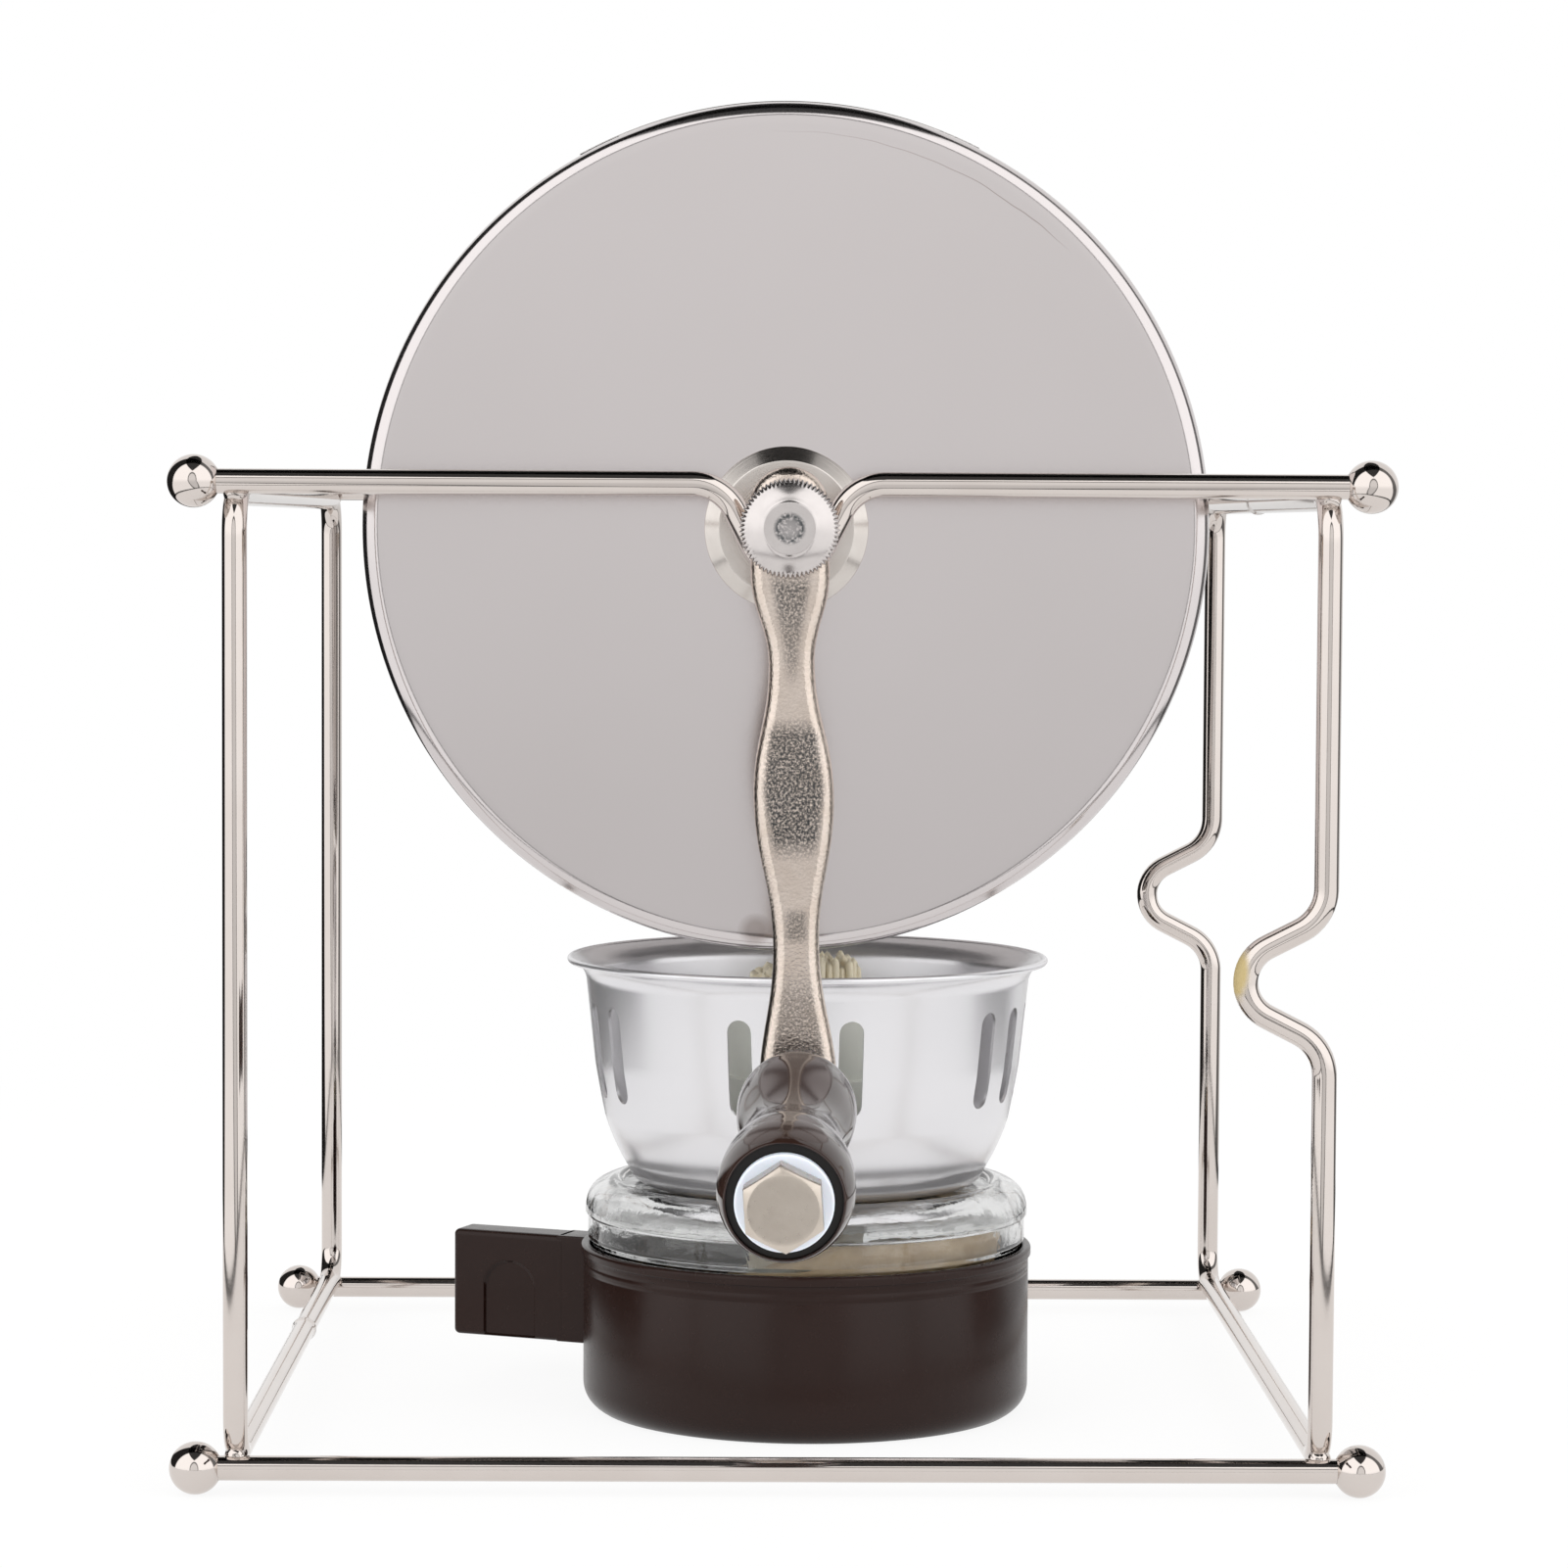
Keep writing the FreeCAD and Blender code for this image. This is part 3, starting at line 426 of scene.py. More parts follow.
def add_node(tree: NodeTree, kind: str, settings: Optional[dict] = None) -> Node:
    """Add a node.

    Args:
        tree: The node tree.
        kind: The node's type without ShaderNode, and after a space the operation of a maths node, or
            what a mix node mixes.
        settings: The node's properties by name, and its inputs by name or number. An input takes a
            value, the output socket that feeds it, or a node whose first output does.

    Returns:
        The node.
    """
    kind, _, mode = kind.partition(" ")
    node = tree.nodes.new("ShaderNode" + kind)
    if mode:
        setattr(node, "data_type" if kind == "Mix" else "operation", mode)
    for key, value in (settings or {}).items():
        if isinstance(key, str) and hasattr(node, key):
            setattr(node, key, value)
        elif isinstance(value, (Node, NodeSocket)):
            tree.links.new(value.outputs[0] if isinstance(value, Node) else value, node.inputs[key])
        else:
            node.inputs[key].default_value = value
    return node


def set_ramp(node: Node, stops: Sequence[tuple[float, str]]) -> None:
    """Give a colour ramp its stops, each a place and an sRGB colour."""
    elements = node.color_ramp.elements
    while len(elements) < len(stops):
        elements.new(0.5)
    for element, (place, colour) in zip(elements, stops):
        element.position = place
        element.color = linear(colour)


@dataclass(frozen=True)
class Finish:
    """A surface finish: two close colours, a gloss, and a grain of a real size."""

    name: str
    base: str
    second: str
    metallic: float
    roughness: float
    grain_mm: float = 1.0
    patch_mm: float = 18.0
    roughness_spread: float = 0.06
    bump_mm: float = 0.01
    stretch: Three = (1.0, 1.0, 1.0)
    fixed: tuple[tuple[str, float], ...] = ()

    def colour(self, tree: NodeTree, place: NodeSocket) -> NodeSocket:
        """Return the colour's socket: soft patches between the two colours."""
        patches = add_node(tree, "TexNoise", {"Scale": 1000 / self.patch_mm, "Detail": 3.0, "Vector": place})
        mix = add_node(tree, "Mix RGBA", {0: patches, 6: linear(self.base), 7: linear(self.second)})
        return mix.outputs[2]

    def height(self, tree: NodeTree, place: NodeSocket) -> NodeSocket:
        """Return the grain's height, from 0 to 1."""
        turned_place = add_node(tree, "Mapping", {"Scale": self.stretch, "Vector": place})
        grain = add_node(tree, "TexNoise", {
            "Scale": 1000 / self.grain_mm, "Detail": 4.0, "Vector": turned_place})
        return grain.outputs[0]

    def gloss(self, tree: NodeTree, height: NodeSocket) -> NodeSocket:
        """Return the roughness, which rises with the grain."""
        spread = add_node(tree, "MapRange", {
            "To Min": max(self.roughness - self.roughness_spread, 0.02),
            "To Max": self.roughness + self.roughness_spread, "Value": height})
        return spread.outputs[0]

    def extra(self, tree: NodeTree, shader: Node) -> None:
        """Link what else the finish needs; a plain finish needs nothing."""

    def make(self) -> Material:
        """Build the material."""
        material = bpy.data.materials.new(self.name)
        material.use_nodes = True
        tree = material.node_tree
        shader = tree.nodes["Principled BSDF"]
        shader.inputs["Metallic"].default_value = self.metallic
        for socket, value in self.fixed:
            shader.inputs[socket].default_value = value
        place = add_node(tree, "TexCoord").outputs["Object"]
        tree.links.new(self.colour(tree, place), shader.inputs["Base Color"])
        height = self.height(tree, place)
        tree.links.new(self.gloss(tree, height), shader.inputs["Roughness"])
        self.extra(tree, shader)
        if self.bump_mm:
            bump = add_node(tree, "Bump", {"Strength": 1.0, "Distance": self.bump_mm * MM, "Height": height})
            tree.links.new(bump.outputs[0], shader.inputs["Normal"])
        return material


@dataclass(frozen=True)
class WireFinish(Finish):
    """Polished stainless wire, browned by heat beside its welds and scorched in one place."""

    burnt: str = "#8F7650"
    scorched: str = "#AC9A6C"
    blotch_mm: float = 3.0
    dulling: float = 0.45

    def colour(self, tree: NodeTree, place: NodeSocket) -> NodeSocket:
        """Add the heat's tint, which the piece's own attribute places."""
        plain = super().colour(tree, place)
        heat = add_node(tree, "Attribute", {"attribute_name": "heat"})
        blotches = add_node(tree, "TexNoise", {
            "Scale": 1000 / self.blotch_mm, "Detail": 3.0, "Vector": place})
        amount = add_node(tree, "Math MULTIPLY", {"use_clamp": True, 0: heat.outputs["Fac"], 1: blotches})
        browned = add_node(tree, "Mix RGBA", {0: amount, 6: plain, 7: linear(self.burnt)})
        patch = add_node(tree, "Attribute", {"attribute_name": "scorch"})
        mix = add_node(tree, "Mix RGBA", {
            0: patch.outputs["Fac"], 6: browned.outputs[2], 7: linear(self.scorched)})
        return mix.outputs[2]

    def gloss(self, tree: NodeTree, height: NodeSocket) -> NodeSocket:
        """Dull the scorched patch."""
        patch = add_node(tree, "Attribute", {"attribute_name": "scorch"})
        dulled = add_node(tree, "Math MULTIPLY_ADD", {
            0: patch.outputs["Fac"], 1: self.dulling, 2: super().gloss(tree, height)})
        return dulled.outputs[0]

    def extra(self, tree: NodeTree, shader: Node) -> None:
        """Cover the metal where the patch is."""
        patch = add_node(tree, "Attribute", {"attribute_name": "scorch"})
        bare = add_node(tree, "Math SUBTRACT", {0: 1.0, 1: patch.outputs["Fac"]})
        tree.links.new(bare.outputs[0], shader.inputs["Metallic"])


@dataclass(frozen=True)
class CastFinish(Finish):
    """Nickel plate over a sand-cast arm: pebbled, with a painted reflection of dark surroundings in darker
    speckled stretches.
    """

    # Colour of the painted reflection: dark surroundings mirrored in the arm's swells.
    dark: str = "#3C3E40"
    speckle_mm: float = 0.5
    length_mm: float = 110.0
    widest_mm: float = 8.0

    def colour(self, tree: NodeTree, place: NodeSocket) -> NodeSocket:
        """Paint a reflection: speckle the middle of the arm darker in the stretches where its swells would
        mirror dark surroundings.
        """
        plain = super().colour(tree, place)
        arm = add_node(tree, "Mapping", {
            "vector_type": "TEXTURE", "Location": (LAYOUT.axle_x * MM, 0, LAYOUT.axle_z * MM),
            "Rotation": (0, math.radians(-LAYOUT.crank_lean), 0), "Vector": place})
        parts = add_node(tree, "SeparateXYZ", {0: arm})
        along = add_node(tree, "MapRange", {
            "From Min": 0.0, "From Max": -self.length_mm * MM, 0: parts.outputs[2]})
        # Painted reflection: stretches along the arm that are speckled darker, standing in for mirrored dark
        # surroundings.
        reflection_stretches = add_node(tree, "ValToRGB", {0: along})
        set_ramp(reflection_stretches, [
            (0.0, "#000000"), (0.07, "#707070"), (0.1, "#F0F0F0"), (0.22, "#D0D0D0"), (0.27, "#303030"),
            (0.315, "#404040"), (0.345, "#F8F8F8"), (0.52, "#FFFFFF"), (0.56, "#404040"), (0.635, "#181818"),
            (0.65, "#D8D8D8"), (0.685, "#D8D8D8"), (0.7, "#181818"), (0.74, "#303030"), (0.79, "#B0B0B0"),
            (0.88, "#B8B8B8"), (1.0, "#707070")])
        reach = add_node(tree, "ValToRGB", {0: along})
        set_ramp(reach, [
            (0.08, "#BBBBBB"), (0.2, "#7C7C7C"), (0.27, "#707070"), (0.34, "#C8C8C8"), (0.44, "#DDDDDD"),
            (0.54, "#C0C0C0"), (0.64, "#8C8C8C"), (0.7, "#8C8C8C"), (0.8, "#B4B4B4"), (0.95, "#E4E4E4")])
        middle = add_node(tree, "Math ABSOLUTE", {0: parts})
        inward = add_node(tree, "Math MULTIPLY", {0: middle, 1: -1.0})
        inset = add_node(tree, "Math MULTIPLY_ADD", {0: reach, 1: self.widest_mm * MM, 2: inward})
        across = add_node(tree, "MapRange", {"From Min": -0.5 * MM, "From Max": 1.0 * MM, 0: inset})
        painted_reflection = add_node(tree, "Math MULTIPLY", {0: reflection_stretches, 1: across})
        fine = add_node(tree, "TexNoise", {
            "Scale": 1000 / self.speckle_mm, "Detail": 8.0, "Roughness": 0.85, "Vector": place})
        dots = add_node(tree, "MapRange", {"From Min": 0.45, "From Max": 0.51, 0: fine})
        amount = add_node(tree, "Math MULTIPLY", {"use_clamp": True, 0: painted_reflection, 1: dots})
        mix = add_node(tree, "Mix RGBA", {0: amount, 6: plain, 7: linear(self.dark)})
        return mix.outputs[2]


@dataclass(frozen=True)
class CoverFinish(Finish):
    """Polished sheet on a pressed cover, with a thin darker arc near the top and a scorch."""

    stain: str = "#6B5546"
    dark_arc_r_mm: float = 77.0
    wobble_mm: float = 14.0
    spot_x_mm: float = -5.7
    spot_z_mm: float = -78.8

    def colour(self, tree: NodeTree, place: NodeSocket) -> NodeSocket:
        """Add a short thin darker arc near the top and a scorched spot near the bottom."""
        plain = super().colour(tree, place)
        centred = add_node(tree, "Mapping", {
            "Scale": (1, 0, 1), "Location": (-LAYOUT.axle_x * MM, 0, -LAYOUT.axle_z * MM), "Vector": place})
        wobble = add_node(tree, "TexNoise", {"Scale": 1000 / self.wobble_mm, "Detail": 2.0, "Vector": place})
        wander = add_node(tree, "MapRange", {"To Min": -0.9 * MM, "To Max": 0.9 * MM, 0: wobble})
        radius = add_node(tree, "VectorMath LENGTH", {0: centred})
        # A thin wavering darker arc at a fixed radius, kept to a window in the upper right.
        line = add_node(tree, "Math SUBTRACT", {0: radius.outputs[1], 1: self.dark_arc_r_mm * MM})
        off = add_node(tree, "Math SUBTRACT", {0: line, 1: wander})
        size = add_node(tree, "Math ABSOLUTE", {0: off})
        thin = add_node(tree, "MapRange", {"From Min": 0.16 * MM, "From Max": 0.03 * MM, 0: size})
        parts = add_node(tree, "SeparateXYZ", {0: centred})
        across = add_node(tree, "MapRange", {"From Min": -60 * MM, "From Max": 60 * MM, 0: parts})
        window = add_node(tree, "ValToRGB", {0: across})
        set_ramp(window, [
            (0.44, "#000000"), (0.5, "#505050"), (0.72, "#D0D0D0"), (0.9, "#FFFFFF"), (0.96, "#000000")])
        upper = add_node(tree, "Math GREATER_THAN", {0: parts.outputs[2], 1: 0.0})
        dark_arc = add_node(tree, "Math MULTIPLY", {0: thin, 1: window})
        dark_arc = add_node(tree, "Math MULTIPLY", {0: dark_arc, 1: upper})
        spot = add_node(tree, "VectorMath DISTANCE", {
            0: centred, 1: (self.spot_x_mm * MM, 0, self.spot_z_mm * MM)})
        ragged = add_node(tree, "Math MULTIPLY_ADD", {0: wobble, 1: 3.0 * MM, 2: spot.outputs[1]})
        scorch = add_node(tree, "MapRange", {
            "From Min": 4.6 * MM, "From Max": 2.4 * MM, "To Max": 0.45, 0: ragged})
        amount = add_node(tree, "Math MULTIPLY_ADD", {"use_clamp": True, 0: dark_arc, 1: 0.5, 2: scorch})
        mix = add_node(tree, "Mix RGBA", {0: amount, 6: plain, 7: linear(self.stain)})
        return mix.outputs[2]


@dataclass(frozen=True)
class SpunFinish(Finish):
    """Metal that was spun or turned about an upright or level axis, with fine rings round it."""

    centre: Three = (LAYOUT.axle_x, 0, LAYOUT.axle_z)
    level: bool = True
    spot_r: float = 0.0
    spot: str = "#4F5355"
    speck_mm: float = 0.5

    def colour(self, tree: NodeTree, place: NodeSocket) -> NodeSocket:
        """Add the speckled grey spot that the punch leaves in the centre, where there is one."""
        plain = super().colour(tree, place)
        if not self.spot_r:
            return plain
        centred = add_node(tree, "Mapping", {
            "Location": tuple(-value * MM for value in self.centre), "Scale": (1, 0, 1), "Vector": place})
        away = add_node(tree, "VectorMath LENGTH", {0: centred})
        share = add_node(tree, "MapRange", {"From Max": self.spot_r * 1.25 * MM, 0: away.outputs[1]})
        ring = add_node(tree, "ValToRGB", {0: share})
        set_ramp(ring, [(0.0, "#A0A0A0"), (0.5, "#C0C0C0"), (0.75, "#FFFFFF"), (1.0, "#000000")])
        specks = add_node(tree, "TexNoise", {"Scale": 1000 / self.speck_mm, "Detail": 3.0, "Vector": place})
        some = add_node(tree, "MapRange", {"From Min": 0.3, "From Max": 0.52, 0: specks})
        amount = add_node(tree, "Math MULTIPLY", {0: ring, 1: some})
        mix = add_node(tree, "Mix RGBA", {0: amount, 6: plain, 7: linear(self.spot)})
        return mix.outputs[2]

    def height(self, tree: NodeTree, place: NodeSocket) -> NodeSocket:
        """Return rings: noise over the distance from the axis and the place along it."""
        scale = (1, 0, 1) if self.level else (1, 1, 0)
        centred = add_node(tree, "VectorMath SUBTRACT", {
            0: place, 1: tuple(value * MM for value in self.centre)})
        flat = add_node(tree, "VectorMath MULTIPLY", {0: centred, 1: scale})
        radius = add_node(tree, "VectorMath LENGTH", {0: flat})
        parts = add_node(tree, "SeparateXYZ", {0: centred})
        section = add_node(tree, "CombineXYZ", {
            0: radius.outputs[1], 1: parts.outputs[1 if self.level else 2]})
        rings = add_node(tree, "TexNoise", {"Scale": 1000 / self.grain_mm, "Detail": 3.0, "Vector": section})
        return rings.outputs[0]


class Finishes:
    """Every finish of the roaster; a material is built when it is first asked for."""

    # Stainless wire, drawn and polished: sharp reflections in a warm grey.
    wire = WireFinish("polished_stainless_wire", "#D6CEC9", "#CDC4BE", 1.0, 0.07, 0.8, 12.0, 0.015, 0.0008)
    # Polished stainless sheet: near mirror with a fine haze.
    sheet = Finish("polished_stainless_sheet", "#CBC6C4", "#C4BFBD", 1.0, 0.10, 0.8, 60.0, 0.03, 0.001)
    # The same sheet pressed and handled: its haze is a little wider, so edges in it are softer.
    cover = CoverFinish("pressed_stainless_cover", "#D1CBCB", "#CAC4C3", 1.0, 0.13, 0.8, 70.0, 0.02, 0.0006)
    # Turned steel: rings from the tool, a little duller than the sheet.
    hub = SpunFinish("turned_steel_hub", "#D6D0CB", "#C6BFB9", 1.0, 0.19, 0.35, 5.0, 0.08, 0.010)
    # Steel stamped and tumbled: duller again, with a grey speckled spot from the punch.
    cap = SpunFinish("stamped_steel_cap", "#D6D0CE", "#C6C0BE", 1.0, 0.22, 0.5, 3.0, 0.06, 0.006,
                     spot_r=2.5)
    # Bright drawn steel: plain grey, with blurred reflections.
    shaft = Finish("bright_drawn_steel", "#C9C5C1", "#BDB8B3", 1.0, 0.15, 0.5, 8.0, 0.05, 0.003)
    # Nickel-plated casting: champagne tint over a pebbled skin about half a millimetre coarse, with a painted
    # reflection in darker speckled stretches.
    arm = CastFinish("nickel_plated_casting", "#DED2C9", "#CABBAE", 1.0, 0.2, 0.6, 5.0, 0.08, 0.09)
    # Turned brass: yellow, satin.
    brass = Finish("turned_brass", "#CDA869", "#B8935A", 1.0, 0.2, 0.6, 6.0, 0.06, 0.004)
    # Forged bolt under thin nickel: warm grey, too uneven to mirror.
    bolt = Finish("nickel_plated_steel_bolt", "#D6CCC1", "#C4B9AD", 1.0, 0.3, 0.9, 3.0, 0.08, 0.02)
    # Nylon: pale bluish white, slightly waxy.
    nylon = Finish("moulded_nylon", "#DDE3EC", "#CFD6E2", 0.0, 0.38, 0.7, 8.0, 0.08, 0.01,
                   fixed=(("IOR", 1.53), ("Subsurface Weight", 0.1), ("Subsurface Scale", 0.002)))
    # Painted shade: a black, dull ring stands in for the shade in the recess of the grip's mouth.
    recess_shade = Finish("black_recess_shade", "#0D0A09", "#14100E", 0.0, 0.5, 0.6, 6.0, 0.08, 0.01,
                    fixed=(("IOR", 1.4),))
    # Phenolic grip, tumbled to a gloss: dark brown with a soft skin.
    grip = Finish("polished_phenolic_grip", "#231612", "#30201A", 0.0, 0.08, 1.4, 11.0, 0.05, 0.004,
                  fixed=(("IOR", 1.4),))
    # Urea cup, moulded with a gloss, a hint of orange peel.
    cup = Finish("moulded_urea_cup", "#1D110D", "#251511", 0.0, 0.26, 2.5, 20.0, 0.05, 0.006,
                 fixed=(("IOR", 1.3),))
    # Pressed soda glass: thick, with slow waves in it.
    glass = Finish("pressed_soda_glass", "#E4E4E3", "#D9DADA", 0.0, 0.03, 5.0, 30.0, 0.015, 0.1,
                   fixed=(("IOR", 1.52), ("Transmission Weight", 1.0)))
    # Aluminium spun on a lathe: pale, satin, ringed, under a white bloom that scatters part of the light.
    aluminium = SpunFinish("spun_aluminium", "#E0DFE1", "#DAD9DC", 0.82, 0.26, 0.9, 25.0, 0.012, 0.0003,
                           centre=(0, 0, 0), level=False)
    # Zinc spun thin and gone dull: greenish grey, half scattering.
    zinc = Finish("dull_spun_zinc", "#F1F2EA", "#E6E8DF", 0.25, 0.45, 0.8, 9.0, 0.05, 0.003)
    # Raw cotton yarn: matt, fibrous, cream.
    cotton = Finish("cotton_yarn", "#FBF3DF", "#E9DCBC", 0.0, 0.9, 0.5, 3.0, 0.05, 0.12,
                    fixed=(("Sheen Weight", 0.3), ("Sheen Roughness", 0.5)))
    # The same cotton soaked in spirit: darker and tan.
    soaked = Finish("soaked_cotton", "#D9BF97", "#B09470", 0.0, 0.6, 0.6, 5.0, 0.08, 0.1)

    def __init__(self) -> None:
        """Start with no material built."""
        self.built: dict[str, Material] = {}

    def material(self, finish: Finish) -> Material:
        """Return the finish's material."""
        if finish.name not in self.built:
            self.built[finish.name] = finish.make()
        return self.built[finish.name]


class Bench:
    """Turns surfaces into named pieces on the bodies that carry them."""

    def __init__(self) -> None:
        """Start with no piece and no material."""
        self.finishes = Finishes()
        self.count = 0

    def add(self, name: str, surface: Surface, finish: Finish, body: Body, slot: str, *stands_for: str,
            marks: Optional[Marks] = None) -> Object:
        """Make a piece.

        Args:
            name: The piece's name.
            surface: Its surface, in millimetres.
            finish: Its finish.
            body: The body that it rides on.
            slot: The record's material slot; not used.
            stands_for: The CAD nodes that it replaces.
            marks: Functions of the points (n, 3) that give the mesh's own attributes.

        Returns:
            The object.
        """
        whole = merged(surface)
        faces = faces_of(whole)
        mesh = bpy.data.meshes.new(name)
        mesh.from_pydata(whole.points * MM, [], faces)
        mesh.polygons.foreach_set("use_smooth", np.ones(len(mesh.polygons), bool))
        mesh.set_sharp_from_angle(angle=math.radians(50))
        for mark, function in (marks or {}).items():
            attribute = mesh.attributes.new(mark, "FLOAT", "POINT")
            attribute.data.foreach_set("value", function(whole.points).astype(np.float32))
        mesh.update()
        mesh.materials.append(self.finishes.material(finish))
        piece = bpy.data.objects.new(name, mesh)
        bpy.context.scene.collection.objects.link(piece)
        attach(piece, body.value)
        if stands_for:
            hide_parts(*stands_for)
        self.count += 1
        log.info("%s: %d faces on %s", name, len(faces), body.value)
        return piece

    def dress(self, node: str, finish: Finish) -> None:
        """Give a CAD node that stays its finish."""
        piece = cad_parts[node]
        piece.data.materials.clear()
        piece.data.materials.append(self.finishes.material(finish))
        log.info("%s: CAD shape kept, dressed", node)


# ---- Stand ----

@dataclass
class Stand:
    """The wire stand: two side loops, four cross rods, ball ends and welds."""

    rod_r: float = 2.35
    ball_r: float = 5.0
    ball_gap: float = 0.2
    ball_bore_gap: float = 0.05
    top_z: float = 191.0
    bottom_z: float = 5.0
    bend_r: float = 7.5
    weld_gap: float = 0.05
    weld_r: float = 2.3
    weld_ripple: float = 0.05
    heat_reach: float = 6.0
    butt_height: float = 0.35
    butt_half_width: float = 0.8
    left_butt_y: float = 34.0
    right_butt_y: float = 16.0
    saddle_drop: float = 8.3
    kink_drop: float = 7.7
    kink_z: float = 98.0
    flank_angle: float = 63.0
    shoulder_r: float = 9.0
    seat_r: float = 7.35
    scorch_offset: Three = (0.3, -1.0, 2.0)
    scorch_size: Three = (2.7, 2.6, 5.2)

    def __post_init__(self) -> None:
        """Work out where a cross rod rests in the corners of the loops."""
        self.reach = self.bend_r + 2 * self.rod_r + self.weld_gap
        self.rise = math.sqrt(self.reach ** 2 - self.bend_r ** 2) - self.bend_r
        self.low_z = self.bottom_z + self.rise
        self.high_z = self.top_z - self.rise
        half_width = (LAYOUT.right_x - LAYOUT.left_x) / 2
        self.ball_reach = half_width + self.rod_r + self.ball_gap + self.ball_r
        self.plain_reach = half_width + self.rod_r

    def dip(self, drop: float, level: float, middle: float) -> list[Two]:
        """Return a saddle's corners as (along, across): two shoulders and where the flanks meet."""
        flank = math.radians(self.flank_angle)
        shoulder = (drop * math.cos(flank) + self.seat_r) / math.sin(flank)
        depth = drop + self.seat_r / math.cos(flank)
        return [(middle - shoulder, level), (middle, level - depth), (middle + shoulder, level)]

    def loop(self, x: float, kinked: bool, butt_y: float, butt_z: float) -> Surface:
        """Return a side loop, its posts kinked inwards where asked, with a butt weld's bead.

        The centre line is the rectangle of posts and bars with rounded corners, in the plane of x.
        """
        near, far = (self.low_z, self.high_z) if butt_z == self.low_z else (self.high_z, self.low_z)
        corners = [(x, LAYOUT.middle_y + butt_y, butt_z)]
        radii = [0.0]
        for y, first, last in ((LAYOUT.rear_y, near, far), (LAYOUT.front_y, far, near)):
            notch = [(across, y, along) for along, across in self.dip(self.kink_drop, x, self.kink_z)]
            notch = (notch if first < last else notch[::-1]) if kinked else []
            bends = [self.shoulder_r, self.seat_r, self.shoulder_r] if kinked else []
            corners += [(x, y, first), *notch, (x, y, last)]
            radii += [self.bend_r, *bends, self.bend_r]
        path = rounded(corners, radii, 24, closed=True)
        return rod(path, (1, 0, 0), self.rod_r, True, bead=(self.butt_height, self.butt_half_width))

    def cross_rod(self, y: float, z: float, reach: float, saddled: bool) -> Surface:
        """Return a rod across the stand, dipped to a saddle where asked."""
        ends = [(LAYOUT.middle_x - reach, y, z), (LAYOUT.middle_x + reach, y, z)]
        if not saddled:
            return rod(np.array(ends), (0, 1, 0), self.rod_r)
        dip = [(along, y, across) for along, across in self.dip(self.saddle_drop, z, LAYOUT.axle_x)]
        path = rounded([ends[0], *dip, ends[1]], [0, self.shoulder_r, self.seat_r, self.shoulder_r, 0], 20)
        return rod(path, (0, 1, 0), self.rod_r, spacing=0.8)

    def balls(self, y: float, z: float) -> Surface:
        """Return a rod's ball ends: spheres with their poles on its axis, each open into a bore for it."""
        bore = self.rod_r + self.ball_bore_gap
        polar = np.linspace(math.pi - math.asin(bore / self.ball_r), 0, 40)
        sphere = np.stack([self.ball_r * np.sin(polar), self.ball_r * np.cos(polar)], axis=-1)
        ball = lathe(np.vstack([[(0, 0), (bore, 0)], sphere]), 64)
        places = [(side, (LAYOUT.middle_x + side * self.ball_reach, y, z)) for side in (-1, 1)]
        return joined(moved(turned(ball, about("Y", 90 * side)), place) for side, place in places)

    def weld_points(self) -> Array:
        """Return the eight places where a cross rod is welded to a loop."""
        places = []
        reach = self.bend_r + self.rod_r + self.weld_gap / 2
        for y, inward in ((LAYOUT.front_y, 1), (LAYOUT.rear_y, -1)):
            for z, upward in ((self.bottom_z, 1), (self.top_z, -1)):
                for x in (LAYOUT.left_x, LAYOUT.right_x):
                    bend_z = z + upward * (self.rise + self.bend_r)
                    places.append((x, y + inward * (self.bend_r - reach * self.bend_r / self.reach),
                                   bend_z - upward * reach * (self.rise + self.bend_r) / self.reach))
        return np.array(places)

    def bead(self, centre: Array, seed: int) -> Surface:
        """Return a weld bead: a sphere whose radius ripples with three seeded waves."""
        phase = np.random.default_rng(seed).uniform(0, 2 * math.pi, 3)
        polar = np.linspace(0, math.pi, 17)
        profile = np.stack([self.weld_r * np.sin(polar), self.weld_r * np.cos(polar)], axis=-1)

        def ripple(radius: Array, height: Array, turn: Array) -> Pair:
            """Scale the sphere by 1 and a share of the waves' sum."""
            waves = (np.sin(3 * turn + phase[0]) * np.sin(height * 1.5 + phase[1])
                     + np.sin(5 * turn + phase[2]) * radius / self.weld_r)
            scale = 1 + self.weld_ripple * waves
            return radius * scale, height * scale

        return moved(lathe(profile, 24, ripple), centre)

    def heat(self, points: Array) -> Array:
        """Return the heat tint at points: a bell curve about each weld."""
        away = np.linalg.norm(points[:, None, :] - self.weld_points()[None, :, :], axis=2)
        return np.exp(-(away.min(axis=1) / self.heat_reach) ** 2)

    def scorch(self, points: Array) -> Array:
        """Return the scorch on the front kink: an ellipsoid that fades from 0.85 to 1.15 of its size."""
        tip_x = LAYOUT.right_x - self.kink_drop - self.seat_r - self.rod_r
        patch = np.array([tip_x, LAYOUT.front_y, self.kink_z]) + self.scorch_offset
        away = np.linalg.norm((points - patch) / self.scorch_size, axis=1)
        return np.clip((1.15 - away) / 0.3, 0, 1)

